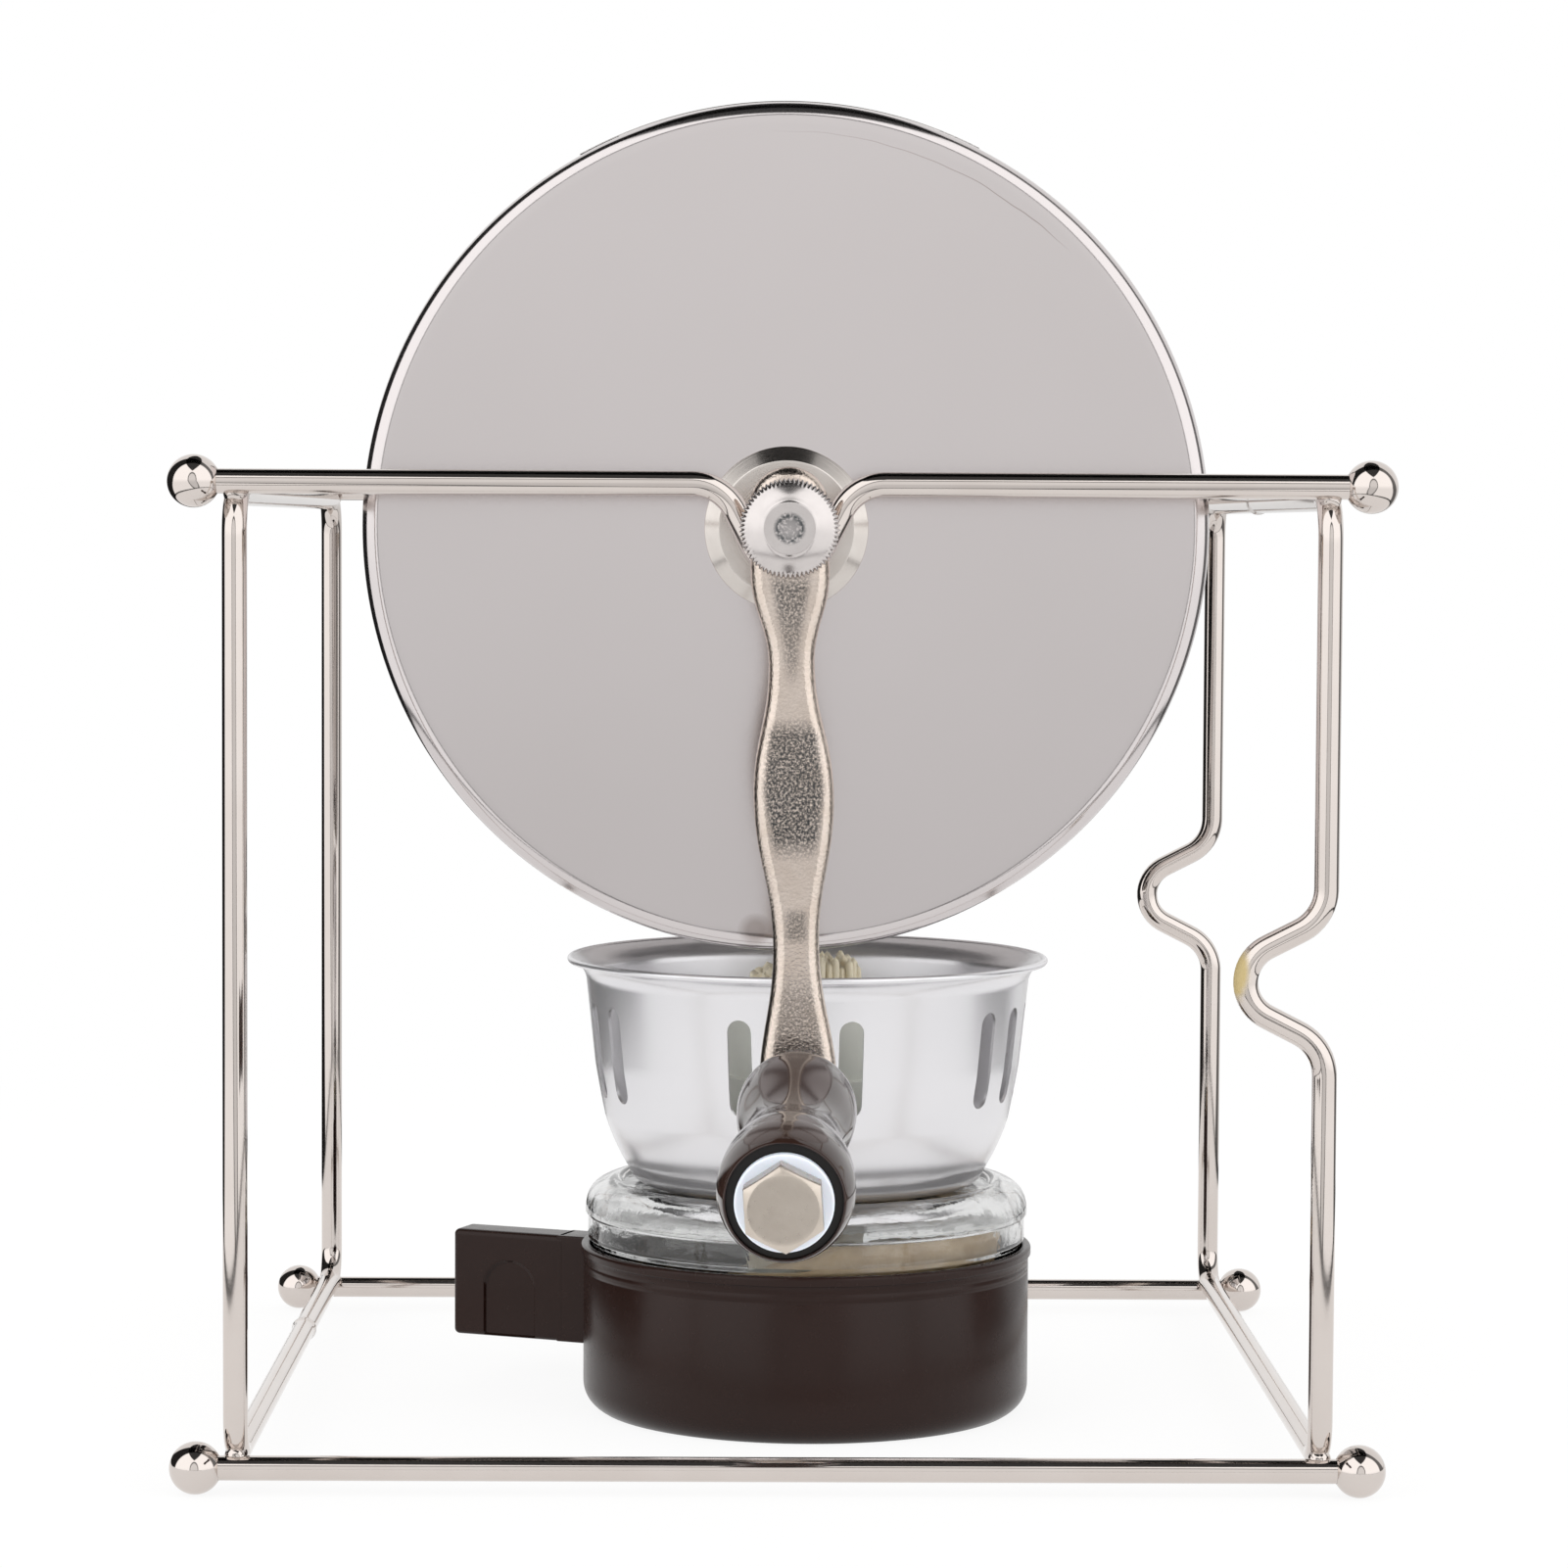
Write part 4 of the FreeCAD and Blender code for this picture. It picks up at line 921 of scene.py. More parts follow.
    def build(self, bench: Bench) -> None:
        """Make the stand's pieces."""
        marks = {"heat": self.heat, "scorch": self.scorch}
        front, rear, top, floor = LAYOUT.front_y, LAYOUT.rear_y, self.top_z, self.bottom_z
        wide = self.ball_reach - self.ball_gap
        left = self.loop(LAYOUT.left_x, False, self.left_butt_y, self.low_z)
        right = self.loop(LAYOUT.right_x, True, self.right_butt_y, self.high_z)
        beads = joined(self.bead(centre, seed) for seed, centre in enumerate(self.weld_points()))
        for name, node, surface in (
                ("left_loop_wire", "left_side_loop", left),
                ("right_loop_wire", "right_side_loop", right),
                ("front_saddle_rod", "front_top_rod", self.cross_rod(front, top, wide, True)),
                ("rear_saddle_rod", "rear_top_rod", self.cross_rod(rear, top, self.plain_reach, True)),
                ("front_floor_rod", "front_bottom_rod", self.cross_rod(front, floor, wide, False)),
                ("rear_floor_rod", "rear_bottom_rod", self.cross_rod(rear, floor, wide, False)),
                ("front_top_ball_ends", "front_top_balls", self.balls(front, top)),
                ("front_bottom_ball_ends", "front_bottom_balls", self.balls(front, floor)),
                ("rear_bottom_ball_ends", "rear_bottom_balls", self.balls(rear, floor)),
                ("corner_weld_beads", "weld_beads", beads)):
            bench.add(name, surface, bench.finishes.wire, Body.FRAME, "stand_wire", node, marks=marks)


# ---- Drum ----

@dataclass
class Drum:
    """The drum: covers, hub flanges, wall, vanes and the rails that its hatch slides in."""

    radius: float = 83.0
    sheet: float = 1.0
    edge_r: float = 3.5
    skirt: float = 9.0
    wall: float = 0.8
    shell_r: float = 81.7
    hub_r: float = 16.0
    hub_face_r: float = 13.2
    hub_height: float = 3.0
    hub_edge: float = 0.5
    hatch_angle: float = 90.0
    hatch_half: float = 24.0
    hatch_front: float = -52.0
    hatch_length: float = 56.0
    hatch_travel: float = 48.0
    hatch_gap: float = 0.3
    overlap: float = 4.0
    overlap_angle: float = 3.0
    plate_t: float = 0.8
    rail_t: float = 0.8
    stop_width: float = 2.0
    rail_inner_angle: float = 0.6
    rail_outer_angle: float = 4.0
    lip_angle: float = 2.0
    foot_half_angle: float = 1.7
    rivets: int = 5
    rivet_inset: float = 6.0
    rivet_angle: float = 2.3
    rivet_size: Two = (1.2, 0.35)
    pull_stem_r: float = 2.2
    pull_stem: float = 1.0
    pull_r: float = 4.5
    pull_height: float = 3.0

    def cover(self) -> Surface:
        """Return a pressed cover about Z: a flat sheet turned down into a skirt with a hemmed end."""
        inner = self.radius - self.sheet
        corners = [(LAYOUT.bore_r, 0), (self.radius, 0), (self.radius, -self.skirt), (inner, -self.skirt),
                   (inner, -self.sheet), (LAYOUT.bore_r, -self.sheet)]
        radii = [0.2, self.edge_r, 0.4, 0.4, self.edge_r - self.sheet, 0.2]
        return lathe(rounded(corners, radii, 12, closed=True), 256)

    def hub(self) -> Surface:
        """Return a hub flange: a disc with a wide chamfer and a soft edge where it meets the cover."""
        corners = [(LAYOUT.bore_r, 0), (self.hub_r, 0), (self.hub_r, self.hub_edge),
                   (self.hub_face_r, self.hub_height), (LAYOUT.bore_r, self.hub_height)]
        return lathe(rounded(corners, [0, 0.15, 0.3, 0.35, 0.2], 5, closed=True), 160)

    def shell(self) -> Surface:
        """Return the rolled wall with the bean opening.

        The wall is a grid of turn and length, without the quads inside the opening. The grid has
        lines on the opening's edges, and the inner skin lies nearer the axle by the wall.
        """
        low, high = LAYOUT.drum_front_y + self.edge_r, LAYOUT.drum_rear_y - self.edge_r
        open_low = LAYOUT.middle_y + self.hatch_front + self.overlap
        open_high = LAYOUT.middle_y + self.hatch_front + self.hatch_length - self.overlap
        half = math.radians(self.hatch_half - self.overlap_angle)
        middle = math.radians(self.hatch_angle)
        open_steps = 21
        ts = np.concatenate([np.linspace(middle - half, middle + half, open_steps + 1)[:-1],
                             np.linspace(middle + half, middle - half + 2 * math.pi, 140)[:-1]])
        ys = np.concatenate([np.linspace(low, open_low, 6)[:-1], np.linspace(open_low, open_high, 12)[:-1],
                             np.linspace(open_high, high, 8)])
        t, y = np.meshgrid(ts, ys, indexing="ij")
        points = np.stack([np.cos(t), y, np.sin(t)], axis=-1) * [self.shell_r, 1, self.shell_r]
        skin = grid_surface(points, wrap_rows=True)
        quad_turn, quad_y = np.divmod(np.arange(len(skin.quads)), len(ys) - 1)
        inside = (quad_turn < open_steps) & (ys[quad_y] >= open_low - 1e-6) & (ys[quad_y] < open_high - 1e-6)
        inward = 1 - self.wall / self.shell_r
        sheet = Surface(skin.points, skin.quads[~inside])
        wall = thickened(sheet, lambda points: points * [inward, 1, inward])
        return leaned(moved(wall, (LAYOUT.axle_x, 0, LAYOUT.axle_z)))

    def rails(self) -> Surface:
        """Return the hatch's frame: on each side a foot and the lip over the plate, and two end stops."""
        lip_low = self.shell_r + 2 * self.hatch_gap + self.plate_t
        lip_high = lip_low + self.rail_t
        past = self.hatch_gap + self.stop_width
        front = self.hatch_front - past
        rear = self.hatch_front + self.hatch_length + self.hatch_travel + past
        inner, outer = self.hatch_half + self.rail_inner_angle, self.hatch_half + self.rail_outer_angle
        over = self.hatch_half - self.lip_angle
        parts = []
        for side in (-1, 1):
            foot, lip = (self.hatch_angle + side * (end + outer) / 2 for end in (inner, over))
            parts += [bent_block(self.shell_r, lip_high, front, rear, foot, self.foot_half_angle),
                      bent_block(lip_low, lip_high, front, rear, lip, (outer - over) / 2)]
        for low in (front, rear - self.stop_width):
            high = low + self.stop_width
            parts.append(bent_block(self.shell_r, lip_high, low, high, self.hatch_angle, outer))
        places = np.linspace(front + self.rivet_inset, rear - self.rivet_inset, self.rivets)
        return joined(parts + [self.rivet(side, y, lip_high) for side in (-1, 1) for y in places])

    def stood(self, surface: Surface, foot_r: float, angle: float, y: float) -> Surface:
        """Stand a surface made about Z on the drum's wall, at a turn and a place along the drum."""
        upright = turned(moved(surface, (0, 0, foot_r)), about("Y", 90 - angle))
        return leaned(moved(upright, (LAYOUT.axle_x, LAYOUT.middle_y + y, LAYOUT.axle_z)))

    def rivet(self, side: int, y: float, foot_r: float) -> Surface:
        """Return a small domed rivet on a rail's foot."""
        radius, height = self.rivet_size
        dome = lathe(np.vstack([arc_between((radius, -0.3), (0, height), 0.2, 6), [(0, -0.3)]]), 24)
        return self.stood(dome, foot_r, self.hatch_angle + side * (self.hatch_half + self.rivet_angle), y)

    def plate(self) -> Surface:
        """Return the curved hatch plate."""
        low = self.shell_r + self.hatch_gap
        return bent_block(low, low + self.plate_t, self.hatch_front, self.hatch_front + self.hatch_length,
                          self.hatch_angle, self.hatch_half)

    def pull(self) -> Surface:
        """Return the hatch's pull: a turned button on a short stem."""
        corners = [(0, -0.4), (self.pull_stem_r, -0.4), (self.pull_stem_r, self.pull_stem),
                   (self.pull_r, self.pull_stem), (self.pull_r, self.pull_height), (0, self.pull_height)]
        button = lathe(rounded(corners, [0, 0, 0.3, 0.7, 0.7, 0], 6, closed=True), 72)
        return self.stood(button, self.shell_r + self.hatch_gap + self.plate_t, self.hatch_angle,
                          self.hatch_front + self.hatch_length / 2)

    def build(self, bench: Bench) -> None:
        """Make the drum's pieces and dress the vanes inside it."""
        finishes = bench.finishes
        front, rear = LAYOUT.drum_front_y, LAYOUT.drum_rear_y
        cover, hub = self.cover(), self.hub()
        for name, node, surface, finish in (
                ("front_cover_pressing", "front_cover", on_axle(cover, front), finishes.cover),
                ("rear_cover_pressing", "rear_cover", on_axle(cover, rear, True), finishes.sheet),
                ("front_hub_disc", "front_hub_flange", on_axle(hub, front), finishes.hub),
                ("rear_hub_disc", "rear_hub_flange", on_axle(hub, rear, True), finishes.hub),
                ("drum_wall", "drum_shell", self.shell(), finishes.sheet),
                ("hatch_rail_frame", "hatch_rails", self.rails(), finishes.sheet),
                ("hatch_slide_plate", "hatch_plate", self.plate(), finishes.sheet),
                ("hatch_button", "hatch_pull", self.pull(), finishes.hub)):
            body = Body.HATCH if node in ("hatch_plate", "hatch_pull") else Body.DRUM
            bench.add(name, surface, finish, body, "drum_steel", node)
        bench.dress("stirring_vanes", finishes.sheet)


# ---- Axle ----

@dataclass
class Axle:
    """The axle with its bushes, spacers and caps."""

    shaft_r: float = 4.0
    bush_half: float = 3.65
    play: float = 0.3
    tube_r: float = 6.0
    collar_r: float = 6.8
    rear_collar: float = 1.5
    shaft_past_collar: float = 1.6
    hub_height: float = 3.0
    bush_r: float = 7.0
    bush_core_r: float = 4.9
    bush_flange: float = 1.0
    cap_r: float = 9.35
    cap_rim: float = 1.3
    cap_height: float = 3.8
    cap_boss_r: float = 5.0
    cap_drop: float = 0.15
    cap_dimple_r: float = 2.6
    teeth: int = 66
    tooth_depth: float = 0.55
    tooth_reach: float = 1.1
    tooth_fade: float = 0.9

    def bush(self) -> Surface:
        """Return a flanged bush about Z."""
        core = self.bush_half - self.bush_flange
        corners = [(LAYOUT.bore_r, -self.bush_half), (self.bush_r, -self.bush_half), (self.bush_r, -core),
                   (self.bush_core_r, -core), (self.bush_core_r, core), (self.bush_r, core),
                   (self.bush_r, self.bush_half), (LAYOUT.bore_r, self.bush_half)]
        return lathe(rounded(corners, 0.15, 3, closed=True), 96)

    def cap(self) -> Surface:
        """Return the push-on cap: a toothed rim, a dome, a flat boss and a dished centre.

        On the rim the radius is r less the depth times a triangle wave of the turn, and the depth
        fades to nothing up the dome.
        """
        boss_z = self.cap_height - self.cap_drop
        dome = arc_between((self.cap_r, self.cap_rim), (self.cap_boss_r, boss_z), 0.06, 12)
        top = rounded([(self.cap_boss_r, boss_z), (self.cap_boss_r - self.cap_drop, self.cap_height),
                       (self.cap_dimple_r, self.cap_height), (0, boss_z)], [0, 0.3, 0.4, 0], 5)
        profile = np.vstack([[(0, 0), (self.cap_r - 0.2, 0), (self.cap_r, 0.15)], dome, top[1:]])

        def toothed(radius: Array, height: Array, turn: Array) -> Pair:
            """Cut the teeth into the rim."""
            fade = np.clip((radius - self.cap_r + self.tooth_reach) / self.tooth_fade, 0, 1)
            wave = np.abs(2 * np.mod(self.teeth * turn / (2 * math.pi), 1) - 1)
            return radius - self.tooth_depth * fade * wave, height

        return lathe(profile, self.teeth * 8, toothed)

    def build(self, bench: Bench) -> None:
        """Make the pieces on the axle."""
        finishes = bench.finishes
        beside = self.bush_half + self.play
        collar_end = LAYOUT.rear_y + beside + self.rear_collar
        rear_end = collar_end + self.play + self.shaft_past_collar
        length = rear_end - LAYOUT.arm_back_y
        shaft = lathe(rounded([(0, 0), (self.shaft_r, 0), (self.shaft_r, length), (0, length)],
                              [0, 0.5, 0.5, 0], 4, closed=True), 64)
        bench.add("axle_shaft", on_axle(shaft, rear_end), finishes.shaft, Body.DRUM, "axle_steel", "axle")
        hub = self.hub_height + self.play
        spans = {
            "front_spacer_tube": (self.tube_r, LAYOUT.front_y + beside, LAYOUT.drum_front_y - hub),
            "rear_spacer_tube": (self.tube_r, LAYOUT.drum_rear_y + hub, LAYOUT.rear_y - beside),
            "front_spacer_ring": (self.collar_r, LAYOUT.arm_back_y + self.play, LAYOUT.front_y - beside),
            "rear_spacer_ring": (self.collar_r, LAYOUT.rear_y + beside, collar_end),
        }
        for node, (radius, low, high) in spans.items():
            collar = on_axle(ring(radius, LAYOUT.bore_r, 0, high - low), high)
            bench.add(node.replace("spacer", "axle"), collar, finishes.shaft, Body.DRUM, "axle_steel", node)
        for end, cap in (("front", on_axle(self.cap(), LAYOUT.arm_front_y)),
                         ("rear", on_axle(self.cap(), collar_end + self.play, True))):
            bench.add(end + "_push_cap", cap, finishes.cap, Body.DRUM, "axle_steel", end + "_axle_cap")
        for node, y in (("front_saddle_bush", LAYOUT.front_y), ("rear_saddle_bush", LAYOUT.rear_y)):
            laid = moved(turned(self.bush(), about("X", 90)), (LAYOUT.axle_x, y, LAYOUT.axle_z))
            bench.add(node.replace("saddle", "brass"), laid, finishes.brass, Body.BUSHES, "bush_brass", node)


# ---- Crank ----

@dataclass
class Crank:
    """The crank arm, its grip, and the bolt and washers that the grip turns on."""

    arm_t: float = 7.0
    arm_chamfer: float = 2.2
    arm_length: float = 105.3
    back_edge: float = 0.5
    stations: tuple[Two, ...] = (
        (7.3, -8.0), (4.25, -25.0), (7.45, -49.5), (4.25, -77.0), (7.3, -105.3))
    head_above: float = 4.1
    droop: float = 4.5
    skew: float = 2.5
    boss_r: float = 6.6
    boss_bore_r: float = 1.0
    boss_sunk: float = 2.0
    boss_height: float = 1.0
    washer_r: float = 8.4
    washer_t: float = 2.0
    end_play: float = 0.3
    grip_length: float = 82.0
    grip_foot: Two = (8.0, 0.0)
    rear_bulge: Two = (10.9, 11.0)
    waist: Two = (8.4, 38.0)
    front_bulge: Two = (11.7, 70.0)
    recess: float = 1.0
    mouth_r: float = 9.9
    # Thickness of the black ring that paints the shade in the grip's recess.
    shade_ring_t: float = 0.2
    bolt_r: float = 4.0
    bolt_play: float = 0.08
    bolt_behind: float = 6.4
    hex_across: float = 13.0
    hex_height: float = 5.3
    hex_chamfer_r: float = 6.0
    hex_chamfer: float = 0.7

    def on_grip_axis(self, surface: Surface) -> Surface:
        """Move a surface made about Z onto the grip's axis, its zero height at the arm's front face.

        The turn that carries Z to the direction g is I + V + V V / (1 + g_z), where V is the cross
        product matrix of Z x g.
        """
        aim = about("Z", -self.skew) @ about("X", self.droop) @ np.array([0.0, -1.0, 0.0])
        axis = np.cross([0.0, 0.0, 1.0], aim)
        cross = np.array([[0, -axis[2], axis[1]], [axis[2], 0, -axis[0]], [-axis[1], axis[0], 0]])
        turn = np.eye(3) + cross + cross @ cross / (1 + aim[2])
        place = (LAYOUT.axle_x, LAYOUT.arm_front_y, LAYOUT.axle_z - self.arm_length)
        return leaned(moved(turned(surface, turn), place))

    def side_line(self) -> Array:
        """Return the arm's right side from its top pole to its bottom pole, as (half width, height)."""
        head, foot = self.stations[0][0], self.stations[-1][0]
        quarter = np.linspace(math.pi / 2, 0, 16)
        bow = np.stack([np.cos(quarter), np.sin(quarter)], axis=-1)
        runs = [eased(a, b, steps=30)[1:] for a, b in zip(self.stations, self.stations[1:])]
        return np.vstack([head * bow + [0, self.head_above], [self.stations[0]], *runs,
                          foot * bow[-2::-1] * [1, -1] - [0, self.arm_length]])

    def arm(self) -> Surface:
        """Return the arm.

        For each point of the side line, one closed line of points runs round the arm: across the
        back, up the side, over the rounded chamfer and across the crowned front. The inset lines are
        the side line less its normal times the inset, so both poles close by themselves.
        """
        line = self.side_line()
        tangent = np.gradient(line, axis=0)
        normal = unit(np.stack([-tangent[:, 1], tangent[:, 0]], axis=-1))
        normal[[0, -1]] = [[0, 1], [0, -1]]
        bend = np.linspace(0, math.pi / 2, 7)
        chamfer, edge = self.arm_chamfer, self.back_edge
        insets = np.concatenate([edge * (1 - np.sin(bend[:-1])), [0], chamfer * (1 - np.cos(bend)) ** 0.75])
        depths = np.concatenate([edge * (1 - np.cos(bend[:-1])), [edge],
                                 self.arm_t - chamfer + chamfer * np.sin(bend)])
        edges = line[:, None, :] - normal[:, None, :] * insets[None, :, None]
        edges[:, :, 0] = np.maximum(edges[:, :, 0], 0)
        across = np.column_stack([np.linspace(1, -1, 13), np.ones(13)])[1:-1]
        outline = np.concatenate([edges, edges[:, -1:] * across, edges[:, ::-1] * [-1, 1],
                                  edges[:, :1] * across[::-1]], axis=1)
        front = np.full(len(across), self.arm_t)
        y = LAYOUT.arm_back_y - np.concatenate([depths, front, depths[::-1], 0 * front])
        points = np.stack(np.broadcast_arrays(outline[..., 0] + LAYOUT.axle_x, y,
                                              outline[..., 1] + LAYOUT.axle_z), axis=-1)
        blade = leaned(outward(grid_surface(points, False, True)))
        boss = ring(self.boss_r, self.boss_bore_r, -self.boss_sunk, self.boss_height)
        return joined([blade, self.on_grip_axis(boss)])

    def grip(self) -> Surface:
        """Return the grip: two bulges with a waist between them and a recessed front."""
        mouth_r, length, seat = self.mouth_r, self.grip_length, self.grip_length - self.recess
        bore_r = self.bolt_r + self.bolt_play
        lip = [(mouth_r + 0.35, length - 0.1), (mouth_r + 0.18, length), (mouth_r + 0.04, length - 0.1),
               (mouth_r, seat)]
        return lathe(np.vstack([
            [(bore_r, 0.0), (self.grip_foot[0] - 0.4, 0.0)],
            arc_between(self.grip_foot, self.rear_bulge, 0.088, 14)[1:],
            eased(self.rear_bulge, self.waist, steps=26)[1:],
            eased(self.waist, self.front_bulge, steps=30)[1:],
            arc_between(self.front_bulge, (mouth_r + 0.5, length - 0.4), 0.051, 14)[1:], lip,
            [(bore_r, seat)]]), 128)

    def hexagon(self) -> Surface:
        """Return the bolt's hexagon head.

        Its side lies a / cos(t') from the axis, where t' is the turn from the middle of a side. A
        cone of the chamfer's slope cuts the corners, so each side ends in a curve.
        """
        across = self.hex_across / 2
        corner = across / math.cos(math.pi / 6)
        turn = turns(240) + math.pi / 2
        from_flat = np.mod(turn - math.pi / 2, math.pi / 3) - math.pi / 6
        side = across / np.cos(from_flat)
        slope = self.hex_chamfer / (corner - self.hex_chamfer_r)
        crown = self.hex_height - (side - self.hex_chamfer_r) * slope
        face_r, top = self.hex_chamfer_r, self.hex_height
        rows = [(0, 0), (side - 0.15, 0), (side, 0.15), (side, crown - 0.12), (side - 0.03, crown - 0.03),
                (side - 0.12, crown + 0.12 * slope), (face_r + 0.05, top - 0.03), (face_r - 0.1, top),
                (face_r - 0.8, top), (0, top)]
        points = np.stack([around(radius, turn, height) for radius, height in rows])
        return outward(grid_surface(points, False, True))

    def build(self, bench: Bench) -> None:
        """Make the crank's pieces."""
        finishes = bench.finishes
        bench.add("cast_crank_arm", self.arm(), finishes.arm, Body.DRUM, "cast_arm", "crank_arm")
        grip_s = self.boss_height + self.washer_t + self.end_play
        seat_s = grip_s + self.grip_length - self.recess
        washer_s = seat_s + self.end_play
        head_s = washer_s + self.washer_t
        grip = self.on_grip_axis(moved(self.grip(), (0, 0, grip_s)))
        bench.add("turned_grip", grip, finishes.grip, Body.KNOB, "grip_plastic", "knob_grip")
        # Painted shade: a black ring on the recess floor stands in for the shade round the washer.
        shade_ring = ring(self.mouth_r - 0.03, self.bolt_r + 0.5, seat_s, seat_s + self.shade_ring_t, 0.06)
        bench.add("grip_mouth_shade_ring", self.on_grip_axis(shade_ring), finishes.recess_shade, Body.KNOB, "grip_plastic")
        for node, low in (("rear_knob_washer", self.boss_height), ("front_knob_washer", washer_s)):
            disc = self.on_grip_axis(ring(self.washer_r, self.bolt_r + 0.2, low, low + self.washer_t, 0.35))
            bench.add(node.replace("knob", "grip"), disc, finishes.nylon, Body.DRUM, "nylon", node)
        shank = rounded([(0, -self.bolt_behind), (self.bolt_r, -self.bolt_behind), (self.bolt_r, head_s),
                         (0, head_s)], [0, 0.6, 0, 0], 4)
        bolt = joined([lathe(shank, 64), moved(self.hexagon(), (0, 0, head_s))])
        bench.add("grip_bolt", self.on_grip_axis(bolt), finishes.bolt, Body.DRUM, "bolt_steel", "knob_bolt")


# ---- Burner ----

@dataclass
class Burner:
    """The spirit burner: cup with its handle, glass tank, wick and holder."""

    cup_r: float = 46.4
    base_r: float = 43.3
    base_round: float = 5.5
    base_bulge: float = 0.147
    cup_height: float = 34.1
    lip_r: float = 46.9
    lip_height: float = 2.0
    wall: float = 1.3
    floor: float = 2.0
    tab_angle: float = 158.0
    tab_reach: float = 79.4
    tab_t: float = 8.8
    tab_low: float = 9.7
    tab_high: float = 32.4
    tab_root: float = 52.9
    tab_edge: float = 1.2
    arch_r: float = 5.85
    arch_from_end: float = 7.4
    arch_from_top: float = 6.3
    arch_depth: float = 0.6
    arch_edge: float = 0.35
    line_drops: Two = (3.4, 1.6)
    line_depth: float = 0.08
    tank_r: float = 44.7
    tank_lip_r: float = 46.0
    ridge_r: float = 45.5
    ridge_z: float = 40.2
    tank_floor: float = 2.3
    tank_lip_gap: float = 0.4
    tank_wall: float = 2.6
    shoulder_z: float = 42.0
    crest: Two = (40.5, 47.5)
    seat: Two = (38.0, 46.6)
    neck_r: float = 14.6
    holder_r: float = 13.0
    holder_wall: float = 0.7
    holder_low: float = 43.0
    holder_high: float = 86.5
    head_r: float = 17.0
    collar: Two = (18.0, 69.5)
    flange_r: float = 19.0
    flange_z: float = 47.8
    flange_t: float = 0.9
    glass_ripple: float = 0.08
    yarns_up: int = 96
    golden_angle: float = 2.399963
    wick_r: float = 10.9
    wick_spread_r: float = 11.2
    wick_foot: float = 76.0
    wick_top: float = 95.0
    wick_core: tuple[Two, ...] = ((0, 5.2), (12.0, 5.2), (12.0, 84.0), (0, 86.0))
    loop_foot: float = 78.0
    loop_peaks: Two = (89.6, 91.2)
    loop_lean: float = 1.9
    cut_lean: float = 0.5
    cut_drops: Two = (0.4, 3.0)
    loop_yarn_r: float = 0.95
    cut_yarn_r: float = 0.72
    coil_layers: tuple[float, ...] = (9.6, 18.2, 26.8, 35.3)
    coil_radii: tuple[float, ...] = (20.6, 28.6, 36.6)
    coil_cotton_r: float = 3.5

    def cup(self) -> Surface:
        """Return the moulded cup: rounded foot, straight wall with two thin moulding lines, rolled lip."""
        inner = self.cup_r - self.wall
        lip_z = self.cup_height - self.lip_height
        base = arc_between((self.base_r, 0), (self.cup_r, self.base_round), self.base_bulge, 12)
        lines = []
        for drop in self.line_drops:
            lines += [(self.cup_r - (self.line_depth if abs(off) < 0.2 else 0), lip_z - drop + off)
                      for off in (-0.3, -0.12, 0.12, 0.3)]
        lip = rounded([(self.cup_r, lip_z), (self.lip_r, lip_z), (self.lip_r, self.cup_height),
                       (inner, self.cup_height), (inner, lip_z)], [0, 0.25, 0.7, 0.4, 0], 6)
        foot = (inner - self.cup_r + self.base_r, self.floor)
        inside = arc_between((inner, self.floor + self.base_round), foot, -self.base_bulge)
        profile = np.vstack([[(0, 0)], base, lines, lip, inside, [(0, self.floor)]])
        return lathe(profile, 224)

    def tab(self) -> Surface:
        """Return the handle: a rounded slab with an arched recess, and the thinner root that holds it.

        The depth of the recess falls to nothing by a smooth step of the distance from the arch's edge.
        """
        half = ((self.tab_reach - self.tab_root) / 2, self.tab_t / 2, (self.tab_high - self.tab_low) / 2)
        slab = rounded_block(half, self.tab_edge, (64, 6, 54))
        points = slab.points + np.array([self.tab_root + half[0], 0, self.tab_low + half[2]])
        across = np.abs(points[:, 0] - (self.tab_reach - self.arch_from_end - self.arch_r))
        above = np.maximum(points[:, 2] - (self.tab_high - self.arch_from_top - self.arch_r), 0)
        inside = self.arch_r - np.hypot(across, above)
        step = np.clip(inside / self.arch_edge + 0.5, 0, 1)
        depth = self.arch_depth * step * step * (3 - 2 * step)
        points[:, 1] -= np.where(points[:, 1] > half[1] - 0.5, depth, 0)
        root_half = ((self.tab_root - self.cup_r) / 2 + 1.6, half[1] - 0.03, half[2])
        root = moved(rounded_block(root_half, 0.4, (2, 2, 8)),
                     ((self.tab_root + self.cup_r) / 2 + 0.8, 0, self.tab_low + half[2]))
        return turned(joined([outward(Surface(points, slab.quads)), root]), about("Z", self.tab_angle))

    def tank(self) -> Surface:
        """Return the pressed glass tank, hollow, with slow waves on its shoulder and its sunk top.

        Above the lip the height gains the ripple times the product of sines of the turn and the radius.
        """
        low, edge = self.tank_floor, self.tank_floor + self.base_round
        inner_r, inner_top = self.tank_r - self.tank_wall, self.seat[1] - self.tank_wall
        foot_r = self.tank_r - self.cup_r + self.base_r
        lip_z = self.cup_height + self.tank_lip_gap
        outside = np.vstack([
            [(0, low)], arc_between((foot_r, low), (self.tank_r, edge), self.base_bulge),
            rounded([(self.tank_r, edge), (self.tank_r, lip_z), (self.ridge_r, lip_z + 1.0),
                     (self.ridge_r, self.ridge_z), (self.tank_lip_r, self.ridge_z + 0.5),
                     (self.tank_lip_r, self.shoulder_z)], [0, 0.4, 0.4, 0.2, 0.3, 0], 5)[1:],
            arc_between((self.tank_lip_r, self.shoulder_z), self.crest, 0.2, 16)[1:],
            arc_between(self.crest, self.seat, 0.2)[1:]])
        sunk = rounded([self.seat, (self.neck_r, self.seat[1]), (self.neck_r, inner_top),
                        (self.seat[0], inner_top)], [0, 0.8, 0.8, 0], 5)[1:]
        steps = np.linspace(self.seat[0], self.neck_r + 1.5, 14)[1:, None]
        sunk = np.vstack([np.hstack([steps, 0 * steps + self.seat[1]]), sunk])
